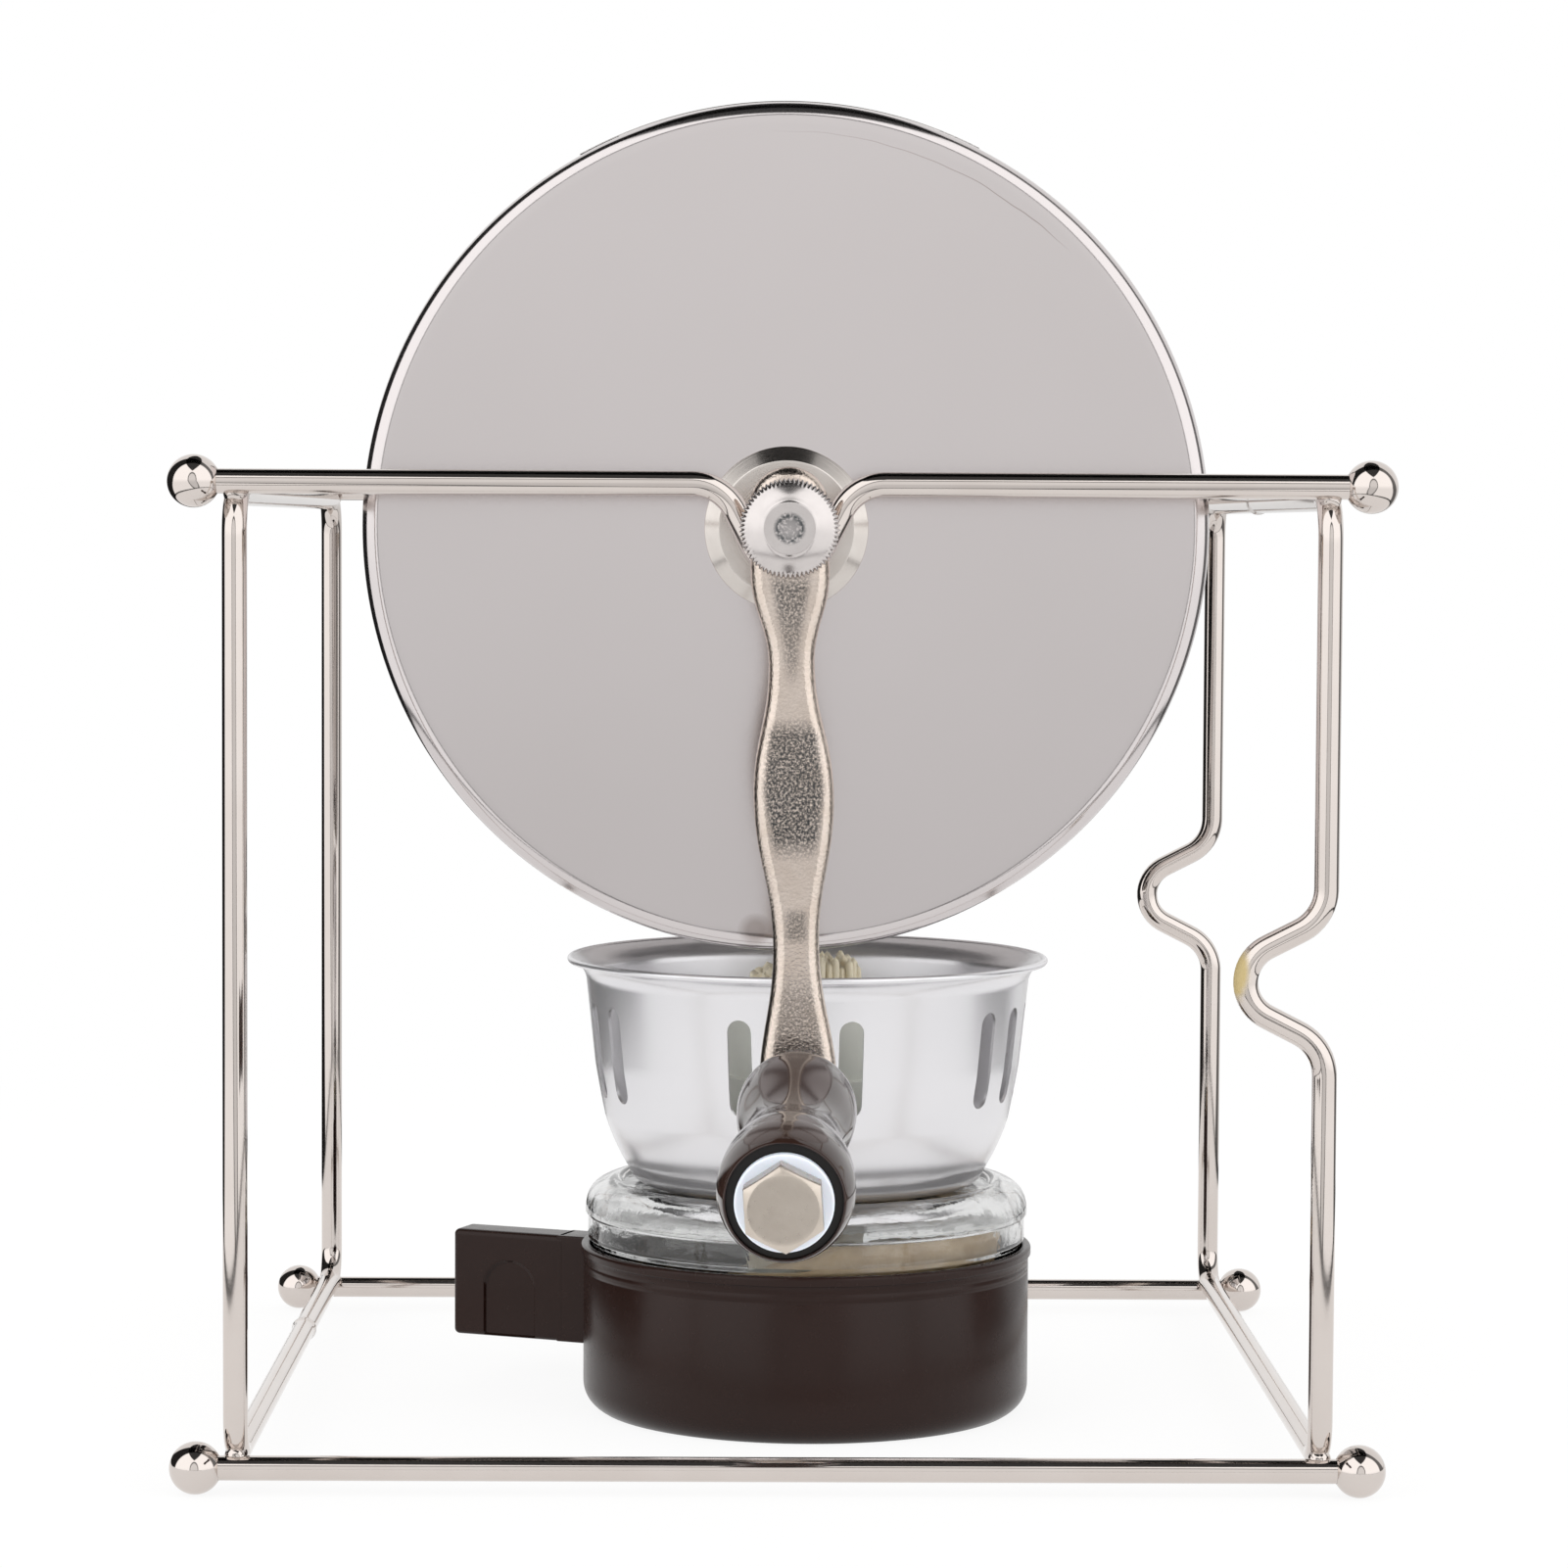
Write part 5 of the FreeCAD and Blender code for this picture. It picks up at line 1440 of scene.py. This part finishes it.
        inside = np.vstack([
            arc_between((self.seat[0], inner_top), (inner_r, inner_top - (inner_r - self.seat[0])), -0.2)[1:],
            [(inner_r, edge), (foot_r - self.tank_wall, low + self.tank_wall), (0, low + self.tank_wall)]])

        def waved(radius: Array, height: Array, turn: Array) -> Pair:
            """Ripple the outside of the shoulder and top."""
            top = np.clip((height - self.shoulder_z) / 3.0, 0, 1) * (radius > self.neck_r + 1)
            wave = np.sin(7 * turn + radius * 0.35) * np.sin(radius * 0.62 + 2 * np.sin(3 * turn))
            return radius, height + self.glass_ripple * top * wave

        return lathe(np.vstack([outside, sunk, inside]), 224, waved)

    def holder(self) -> Surface:
        """Return the wick's holder: a tube in the neck, a flange, and a wide hollow head with a collar."""
        bore, head_inner = self.holder_r - self.holder_wall, self.head_r - self.holder_wall
        flange_top, head_under = self.flange_z + self.flange_t, self.holder_high - self.holder_wall
        corners = [(bore, self.holder_low), (self.holder_r, self.holder_low), (self.holder_r, self.flange_z),
                   (self.flange_r, self.flange_z), (self.flange_r, flange_top), (self.collar[0], flange_top),
                   self.collar, (self.head_r, self.collar[1]), (self.head_r, self.holder_high),
                   (bore, self.holder_high), (bore, head_under), (head_inner, head_under),
                   (head_inner, flange_top), (bore, flange_top)]
        bends = [0.2, 0.2, 0.2, 0.3, 0.3, 0.2, 0.3, 0.2, 1.2, 0.2, 0.2, 0.6, 0.2, 0.2]
        return lathe(rounded(corners, bends, 4, closed=True), 128)

    def yarns(self, starts: Array, peaks: Array, ends: Array, radius: float) -> Surface:
        """Return many short yarns at once.

        Yarn k follows the parabola through its start, its peak at half way and its end. Its section
        is r (1 + 0.16 |sin(3 (t + turns s))|), the strands of a twist.

        Args:
            starts: Array of (yarns, 3).
            peaks: Array of (yarns, 3).
            ends: Array of (yarns, 3).
            radius: The yarn's radius.

        Returns:
            All yarns as one surface.
        """
        share = np.linspace(0, 1, 18)[None, :, None]
        weights = (2 * (share - 0.5) * (share - 1), 4 * share * (1 - share), 2 * share * (share - 0.5))
        path = weights[0] * starts[:, None] + weights[1] * peaks[:, None] + weights[2] * ends[:, None]
        tangent = unit(np.gradient(path, axis=1))
        helper = np.cross(ends - starts + [0.013, 0.007, 0.003], [0.1, 0.05, 1.0])[:, None]
        first = unit(np.cross(tangent, helper))
        second = np.cross(tangent, first)
        turn = turns(12)
        strand = 1 + 0.16 * np.abs(np.sin(3 * (turn[None, None, :] + 5.0 * share)))
        ends_close = np.sqrt(np.clip(1 - (2 * share - 1) ** 20, 0, 1))
        size = (radius * strand * ends_close)[..., None]
        points = path[:, :, None] + size * (
            np.cos(turn)[:, None] * first[:, :, None] + np.sin(turn)[:, None] * second[:, :, None])
        return joined(outward(grid_surface(yarn, False, True)) for yarn in points)

    def wick(self) -> Surface:
        """Return the wick: a bundle of cotton yarns, looped over on the left and cut upright on the right.

        The yarns stand on a sunflower spiral, where yarn k lies at a radius of the root of k and a turn
        of k golden angles.
        """
        chance = np.random.default_rng(11)
        count = self.yarns_up
        turn = np.arange(count) * self.golden_angle
        radius = self.wick_r * np.sqrt((np.arange(count) + 0.5) / count)
        base = around(radius, turn, self.wick_foot)
        looped = base[:, 0] < 0.5
        lean = np.where(looped, self.loop_lean, self.cut_lean) * chance.uniform(0.6, 1.2, count)
        away = chance.uniform(0, 2 * math.pi, count)
        least, most = self.cut_drops
        cut = self.wick_top - least - (most - least) * chance.uniform(0, 1, count) ** 1.6
        top = np.where(looped, self.loop_foot, cut)
        step = around(lean, away, 0)[:, :2] * np.where(looped, 2, 1)[:, None]
        ends = np.column_stack([base[:, :2] + step, top])
        size = np.linalg.norm(ends[:, :2], axis=1)
        ends[:, :2] *= np.minimum(1, self.wick_spread_r / np.maximum(size, 1e-6))[:, None]
        middle = np.where(looped, chance.uniform(*self.loop_peaks, count), (base[:, 2] + top) / 2)
        peaks = np.column_stack([(base[:, :2] + ends[:, :2]) / 2, middle])
        core = lathe(rounded(self.wick_core, [0, 0.8, 2.0, 0], 5, closed=True), 72)
        return joined([core, self.yarns(base[looped], peaks[looped], ends[looped], self.loop_yarn_r),
                       self.yarns(base[~looped], peaks[~looped], ends[~looped], self.cut_yarn_r)])

    def cotton_coil(self) -> Surface:
        """Return the wick's tail in the tank: turns of thick cotton, heaped against the right side.

        A turn is a ring whose radius and height sway by seeded waves, and whose section has six
        strands that wind round it. Its height above the floor is multiplied by a share that falls
        smoothly from 1 on the right to a quarter on the left.
        """
        chance = np.random.default_rng(5)
        turn = turns(220)[:, None]
        section = turns(30)[None, :]
        heap = 0.25 + 0.75 * np.clip(0.62 + 0.75 * np.cos(turn + 0.35), 0, 1)
        rings = []
        floor = self.coil_layers[0]
        for layer, z in enumerate(self.coil_layers):
            for place, radius in enumerate(self.coil_radii):
                phase = chance.uniform(0, 2 * math.pi, 4)
                sway_r = radius + 0.45 * np.sin(2 * turn + phase[0]) + 0.25 * np.sin(5 * turn + phase[1])
                sway_z = 0.4 * np.sin(3 * turn + phase[2]) + 0.2 * np.sin(7 * turn + phase[3])
                strands = np.abs(np.sin(3 * (section + (14 + place) * turn + layer)))
                size = self.coil_cotton_r * (1 + 0.09 * strands)
                height = floor + (z - floor) * heap + sway_z + 1.15 * size * np.sin(section)
                points = around(sway_r + size * np.cos(section), turn, height)
                rings.append(outward(grid_surface(points, True, True)))
        return joined(rings)

    def build(self, bench: Bench) -> None:
        """Make the burner's pieces."""
        finishes = bench.finishes
        cup = joined([self.cup(), self.tab()])
        for name, node, surface, finish, slot in (
                ("moulded_cup", "burner_cup", cup, finishes.cup, "cup_plastic"),
                ("glass_fuel_tank", "fuel_tank", self.tank(), finishes.glass, "tank_glass"),
                ("spun_wick_holder", "wick_holder", self.holder(), finishes.zinc, "spun_aluminium"),
                ("wick_yarns", "wick", self.wick(), finishes.cotton, "wick_cotton"),
                ("cotton_wick_coil", "wick_coil", self.cotton_coil(), finishes.soaked, "wick_cotton")):
            bench.add(name, surface, finish, Body.BURNER, slot, node)


# ---- Windshield ----

@dataclass
class Windshield:
    """The spun bowl round the flame, with groups of upright slots."""

    sheet: float = 0.6
    floor_z: float = 46.9
    neck_r: float = 14.6
    floor_r: float = 32.0
    heel: Two = (37.3, 50.4)
    waist: Two = (42.0, 61.0)
    wall: Two = (44.1, 72.1)
    neck: Two = (46.0, 89.6)
    rim: Two = (49.6, 93.4)
    bead_r: float = 0.7
    cells: int = 25
    first_angle: float = -94.0
    slot_half: float = 2.5
    slot_low: float = 65.2
    slot_high: float = 85.0
    margin: float = 1.6
    group: int = 5
    slotted: tuple[int, ...] = (0, 1, 4)
    columns: int = 10
    rows: int = 16

    def profile(self) -> Array:
        """Return the outer wall's (radius, height) line from the hole in the floor to the rim."""
        return np.vstack([
            [(self.neck_r, self.floor_z), (self.neck_r + 1, self.floor_z)],
            arc_between((self.floor_r, self.floor_z), self.heel, 0.2, 12),
            arc_between(self.heel, self.waist, 0.034, 24)[1:],
            arc_between(self.waist, self.wall, 0.006, 24)[1:], arc_between(self.wall, self.neck, 0.0, 24)[1:],
            arc_between(self.neck, self.rim, -0.135, 12)[1:]])

    def radius_at(self, z: Array) -> Array:
        """Return the wall's radius at heights."""
        line = self.profile()
        return np.interp(z, line[:, 1], line[:, 0])

    def slotted_cell(self, middle: float) -> Surface:
        """Return a cell of the wall round one slot.

        Rings of points blend in a straight line from the slot's round-ended outline to the cell's
        edge. Both outlines are walked in the same order: top, right side, bottom, left side.
        """
        half = math.pi / self.cells
        low, high = self.slot_low + self.slot_half, self.slot_high - self.slot_half
        bend = np.linspace(0, math.pi, self.columns + 1)[:-1]
        side = np.linspace(high, low, self.rows + 1)
        straight = np.full(self.rows, self.slot_half)
        end_x, end_z = self.slot_half * np.cos(bend), self.slot_half * np.sin(bend)
        slot_x = np.concatenate([-end_x, straight, end_x, -straight])
        slot_z = np.concatenate([high + end_z, side[:-1], low - end_z, side[:0:-1]])
        top, bottom = self.slot_high + self.margin, self.slot_low - self.margin
        across = np.linspace(-half, half, self.columns + 1)
        up = np.linspace(top, bottom, self.rows + 1)
        beside, level = np.full(self.rows, half), np.ones(self.columns)
        edge_t = np.concatenate([across[:-1], beside, across[:0:-1], -beside])
        edge_z = np.concatenate([level * top, up[:-1], level * bottom, up[:0:-1]])
        slot_t = np.arcsin(slot_x / self.radius_at(slot_z))
        share = np.array([0, 0.06, 0.16, 0.32, 0.5, 0.68, 0.84, 1.0])[:, None]
        turn = (1 - share) * slot_t + share * edge_t + middle
        z = (1 - share) * slot_z + share * edge_z
        return grid_surface(around(self.radius_at(z), turn, z), False, True)

    def plain_cell(self, middle: float) -> Surface:
        """Return a cell of the wall without a slot, on the same edge points."""
        half = math.pi / self.cells
        turn = np.linspace(-half, half, self.columns + 1)[None, :] + middle
        z = np.linspace(self.slot_high + self.margin, self.slot_low - self.margin, self.rows + 1)[:, None]
        return grid_surface(around(self.radius_at(z), turn, z))

    def bands(self) -> list[Surface]:
        """Return the wall above and below the slots, and the floor."""
        line = self.profile()
        start = math.radians(self.first_angle) - math.pi / self.cells
        turn = start + turns(self.cells * self.columns)[None, :]
        top, bottom = self.slot_high + self.margin, self.slot_low - self.margin
        upper = np.vstack([[(self.radius_at(np.array(top)), top)], line[line[:, 1] > top + 0.05]])
        lower = np.vstack([line[line[:, 1] < bottom - 0.05], [(self.radius_at(np.array(bottom)), bottom)]])
        return [grid_surface(around(part[:, :1], turn, part[:, 1:]), False, True) for part in (lower, upper)]

    def consistent(self, part: Surface) -> Surface:
        """Turn each quad of a part of the wall away from the bowl's axis, or down on its floor."""
        a, b, c, d = part.points[part.quads.T]
        normal = np.cross(c - a, d - b)
        middle = (a + b + c + d) / 4 - np.array([0, 0, self.wall[1] + 10])
        middle[:, 2] = np.where(middle[:, 2] < -20, middle[:, 2] * 4, 0)
        away = np.sum(normal * middle, axis=1) > 0
        return Surface(part.points, np.where(away[:, None], part.quads, part.quads[:, ::-1]))

    def inside(self, points: Array) -> Array:
        """Return points moved inwards by the sheet, along the normal (dz, -dr) of the wall's line."""
        line = self.profile()
        step = unit(np.gradient(line, axis=0))
        radius = np.hypot(points[:, 0], points[:, 1])
        nearest = np.argmin(np.hypot(radius[:, None] - line[:, 0], points[:, 2:] - line[:, 1]), axis=1)
        inner_r = radius - self.sheet * step[nearest, 1]
        scale = (inner_r / radius)[:, None]
        return np.hstack([points[:, :2] * scale, points[:, 2:] + self.sheet * step[nearest, :1]])

    def build(self, bench: Bench) -> None:
        """Make the bowl and its rolled rim."""
        cells = []
        for index in range(self.cells):
            middle = math.radians(self.first_angle) + index * 2 * math.pi / self.cells
            cell = self.slotted_cell if index % self.group in self.slotted else self.plain_cell
            cells.append(cell(middle))
        skin = joined(self.consistent(part) for part in cells + self.bands())
        bowl = thickened(skin, self.inside)
        turn = turns(16)
        section = np.stack([self.rim[0] - self.bead_r / 2 + self.bead_r * np.cos(turn),
                            self.rim[1] + self.bead_r * np.sin(turn)], axis=-1)
        finish, slot = bench.finishes.aluminium, "spun_aluminium"
        bench.add("spun_windshield_bowl", bowl, finish, Body.WINDSHIELD, slot, "windshield")
        bench.add("rolled_windshield_rim", lathe(section, 200), finish, Body.WINDSHIELD, slot)


# ---- Studio ----

@dataclass
class Studio:
    """A white studio: floor, lamps, world and camera. Only the eye's place is in millimetres."""

    lens_px: float = 4635.0
    image_px: float = 1601.0
    sensor_mm: float = 36.0
    eye: Three = (-15.52, -941.7, 182.91)
    yaw: float = 0.634
    pitch: float = 3.235
    roll: float = 0.313
    room_light: float = 1.05
    panel_light: float = 1.5
    floor_glow: float = 0.88
    floor_glow_in_metal: float = 0.8
    table_r: float = 0.37
    mirrors_z: float = 0.17
    floor_half: float = 6.0
    box_size: Two = (1.3, 1.0)
    box_place: Three = (1.0, -0.68, 0.45)
    box_aim: Three = (0, 0, 0.12)
    box_power: float = 8.0

    def place(self, thing: Object, eye: Sequence[float], forward: Array, right: Array) -> None:
        """Put a camera or a lamp into the scene, looking forward; up is right x forward."""
        matrix = np.eye(4)
        matrix[:3] = np.column_stack([right, np.cross(right, forward), -forward, eye])
        thing.matrix_world = Matrix(matrix.tolist())
        bpy.context.scene.collection.objects.link(thing)

    def camera(self) -> None:
        """Place the camera: forward from yaw and pitch, right level and then turned by the roll."""
        yaw, pitch, roll = (math.radians(angle) for angle in (self.yaw, self.pitch, self.roll))
        forward = math.cos(pitch) * np.array([math.sin(yaw), math.cos(yaw), -math.tan(pitch)])
        level = np.array([math.cos(yaw), -math.sin(yaw), 0])
        data = bpy.data.cameras.new("camera")
        data.sensor_width = self.sensor_mm
        data.lens = self.sensor_mm * self.lens_px / self.image_px
        data.clip_start, data.clip_end = 0.01, 50.0
        camera = bpy.data.objects.new("camera", data)
        right = math.cos(roll) * level + math.sin(roll) * np.cross(level, forward)
        self.place(camera, np.array(self.eye) * MM, forward, right)
        bpy.context.scene.camera = camera

    def room(self, tree: NodeTree, direction: NodeSocket) -> NodeSocket:
        """Return how bright polished metal sees the room in a direction (x, y, z).

        Left and right stand bright panels. Between them, in front, is a dark-edged oval of plain wall,
        and above it a dark wedge, where |x| is less than 1.6 (z - 0.68). Behind the panels is a dark
        gap, from y + 0.2 z = 0.05 to where y + 0.58 z + 0.45 x passes 0.91, and then the white backdrop.
        """
        parts = add_node(tree, "SeparateXYZ", {0: direction})
        x, _, z = parts.outputs
        oval = add_node(tree, "Mapping", {
            "Location": (0, 1, -0.085), "Scale": (3, 1, 1.7), "Vector": direction})
        reach = add_node(tree, "VectorMath LENGTH", {0: oval})
        share = add_node(tree, "MapRange", {"From Max": 2.0, 0: reach.outputs[1]})
        wall = add_node(tree, "ValToRGB", {0: share})
        set_ramp(wall, [(0.38, "#D6D6D6"), (0.43, "#606060"), (0.46, "#606060"), (0.51, "#FFFFFF")])
        panel = add_node(tree, "Math MULTIPLY", {0: wall, 1: self.panel_light})
        upward = add_node(tree, "VectorMath MAXIMUM", {0: direction, 1: (-1, -1, 0)})
        near = add_node(tree, "VectorMath DOT_PRODUCT", {0: upward, 1: (0, 1, 0.2)})
        front = add_node(tree, "MapRange", {"From Min": 0.08, "From Max": 0.02, 0: near.outputs[1]})
        lift = add_node(tree, "Mix", {0: front, 2: 1.0, 3: panel})
        half = add_node(tree, "Math MULTIPLY_ADD", {0: z, 1: 1.6, 2: -1.09})
        side = add_node(tree, "Math ABSOLUTE", {0: x})
        off = add_node(tree, "Math SUBTRACT", {0: side, 1: half})
        wedge = add_node(tree, "MapRange", {"From Min": -0.02, "From Max": 0.02, "To Min": 0.035, 0: off})
        rightward = add_node(tree, "VectorMath MAXIMUM", {0: direction, 1: (0, -1, 0)})
        back = add_node(tree, "VectorMath DOT_PRODUCT", {0: rightward, 1: (0.45, 1, 0.58)})
        behind = add_node(tree, "MapRange", {"From Min": 0.89, "From Max": 0.93, 0: back.outputs[1]})
        clear = add_node(tree, "Math MAXIMUM", {0: front, 1: behind})
        depth = add_node(tree, "MapRange", {
            "From Min": 0.1, "From Max": 0.6, "To Min": 0.02, "To Max": 0.2, 0: x})
        gap = add_node(tree, "MapRange", {0: clear, 3: depth})
        fall = add_node(tree, "MapRange", {"From Min": -0.1, "From Max": 0.1, "To Min": 0.8, 0: z})
        level = lift
        for share in (wedge, gap, fall):
            level = add_node(tree, "Math MULTIPLY", {0: level, 1: share})
        return level.outputs[0]

    def floor(self) -> None:
        """Make the pale floor, which is white to the eye, to glass and to metal, less the object's shadow.

        Away from the object the glow rises to pure white. Metal sees the table end at its radius with a
        dark line, and beyond it the room, in the direction from the metal's usual height.
        """
        far = self.floor_half
        mesh = bpy.data.meshes.new("studio_floor")
        mesh.from_pydata([(-far, -far, 0), (far, -far, 0), (far, far, 0), (-far, far, 0)], [], [(0, 1, 2, 3)])
        floor = bpy.data.objects.new("studio_floor", mesh)
        bpy.context.scene.collection.objects.link(floor)
        material = bpy.data.materials.new("studio_floor_paint")
        material.use_nodes = True
        tree = material.node_tree
        shader = tree.nodes["Principled BSDF"]
        shader.inputs["Base Color"].default_value = linear("#F6F5F4")
        shader.inputs["Roughness"].default_value = 0.9
        place = add_node(tree, "TexCoord").outputs["Object"]
        away = add_node(tree, "VectorMath LENGTH", {0: place}).outputs[1]
        light = add_node(tree, "LightPath")
        seen = add_node(tree, "Math MAXIMUM", {
            0: light.outputs["Is Camera Ray"], 1: light.outputs["Is Transmission Ray"]})
        level = add_node(tree, "MapRange", {
            "From Min": 0.2, "From Max": 0.6, "To Min": self.floor_glow, 0: away})
        clear = add_node(tree, "Math MULTIPLY", {0: seen, 1: level})
        edge = self.table_r
        beyond = add_node(tree, "MapRange", {
            "From Min": edge - 0.01, "From Max": edge, "To Min": self.floor_glow_in_metal, 0: away})
        mirrored = add_node(tree, "Math MULTIPLY", {0: light.outputs["Is Glossy Ray"], 1: beyond})
        amount = add_node(tree, "Math MAXIMUM", {0: clear, 1: mirrored})
        line = add_node(tree, "ValToRGB", {0: away})
        set_ramp(line, [(edge - 0.02, "#FFFFFF"), (edge - 0.01, "#404040"), (edge + 0.02, "#404040"),
                        (edge + 0.03, "#FFFFFF")])
        ray = add_node(tree, "VectorMath SUBTRACT", {0: place, 1: (0, 0, self.mirrors_z)})
        ray = add_node(tree, "VectorMath NORMALIZE", {0: ray})
        past = add_node(tree, "Math GREATER_THAN", {0: away, 1: edge})
        reached = add_node(tree, "Mix", {0: past, 2: 1.0, 3: self.room(tree, ray.outputs[0])})
        inside = add_node(tree, "Math MULTIPLY", {0: reached, 1: line})
        strength = add_node(tree, "Mix", {0: light.outputs["Is Glossy Ray"], 2: 1.0, 3: inside})
        glow = add_node(tree, "Emission", {"Color": (1, 1, 1, 1), "Strength": strength})
        mix = add_node(tree, "MixShader", {0: amount, 1: shader, 2: glow})
        tree.links.new(mix.outputs[0], tree.nodes["Material Output"].inputs[0])
        mesh.materials.append(material)

    def world(self) -> None:
        """Light the room: white to the eye and through glass, the room itself to metal, less to the rest."""
        world = bpy.data.worlds.new("studio_world")
        bpy.context.scene.world = world
        world.use_nodes = True
        tree = world.node_tree
        background = tree.nodes["Background"]
        background.inputs["Color"].default_value = (1, 1, 1, 1)
        level = self.room(tree, add_node(tree, "TexCoord").outputs["Generated"])
        light = add_node(tree, "LightPath")
        seen = add_node(tree, "Math MAXIMUM", {
            0: light.outputs["Is Camera Ray"], 1: light.outputs["Is Transmission Ray"]})
        plain = add_node(tree, "MapRange", {"To Min": self.room_light, 0: seen})
        mirrored = add_node(tree, "Math GREATER_THAN", {0: light.outputs["Is Glossy Ray"], 1: seen})
        strength = add_node(tree, "Mix", {0: mirrored, 2: plain, 3: level})
        tree.links.new(strength.outputs[0], background.inputs["Strength"])

    def lamp(self, name: str, side: int) -> None:
        """Add a soft rectangular lamp on one side, which faces the object."""
        data = bpy.data.lights.new(name, "AREA")
        data.shape = "RECTANGLE"
        data.size, data.size_y = self.box_size
        data.energy = self.box_power
        lamp = bpy.data.objects.new(name, data)
        eye = np.array(self.box_place) * [side, 1, 1]
        forward = unit(self.box_aim - eye)
        self.place(lamp, eye, forward, unit(np.cross(forward, [0, 0, 1.0])))
        lamp.visible_glossy = False

    def build(self) -> None:
        """Set the whole studio up."""
        self.camera()
        self.floor()
        self.world()
        self.lamp("left_softbox", -1)
        self.lamp("right_softbox", 1)
        bpy.context.scene.view_settings.view_transform = "Standard"


def main() -> None:
    """Build the roaster's sub-assemblies in order."""
    logging.basicConfig(level=logging.INFO, format="%(name)s: %(message)s")
    bench = Bench()
    Studio().build()
    for assembly in (Stand(), Drum(), Axle(), Crank(), Burner(), Windshield()):
        assembly.build(bench)
        log.info("%s done", type(assembly).__name__)
    log.info("%d pieces made", bench.count)


if __name__ == "__main__":
    main()
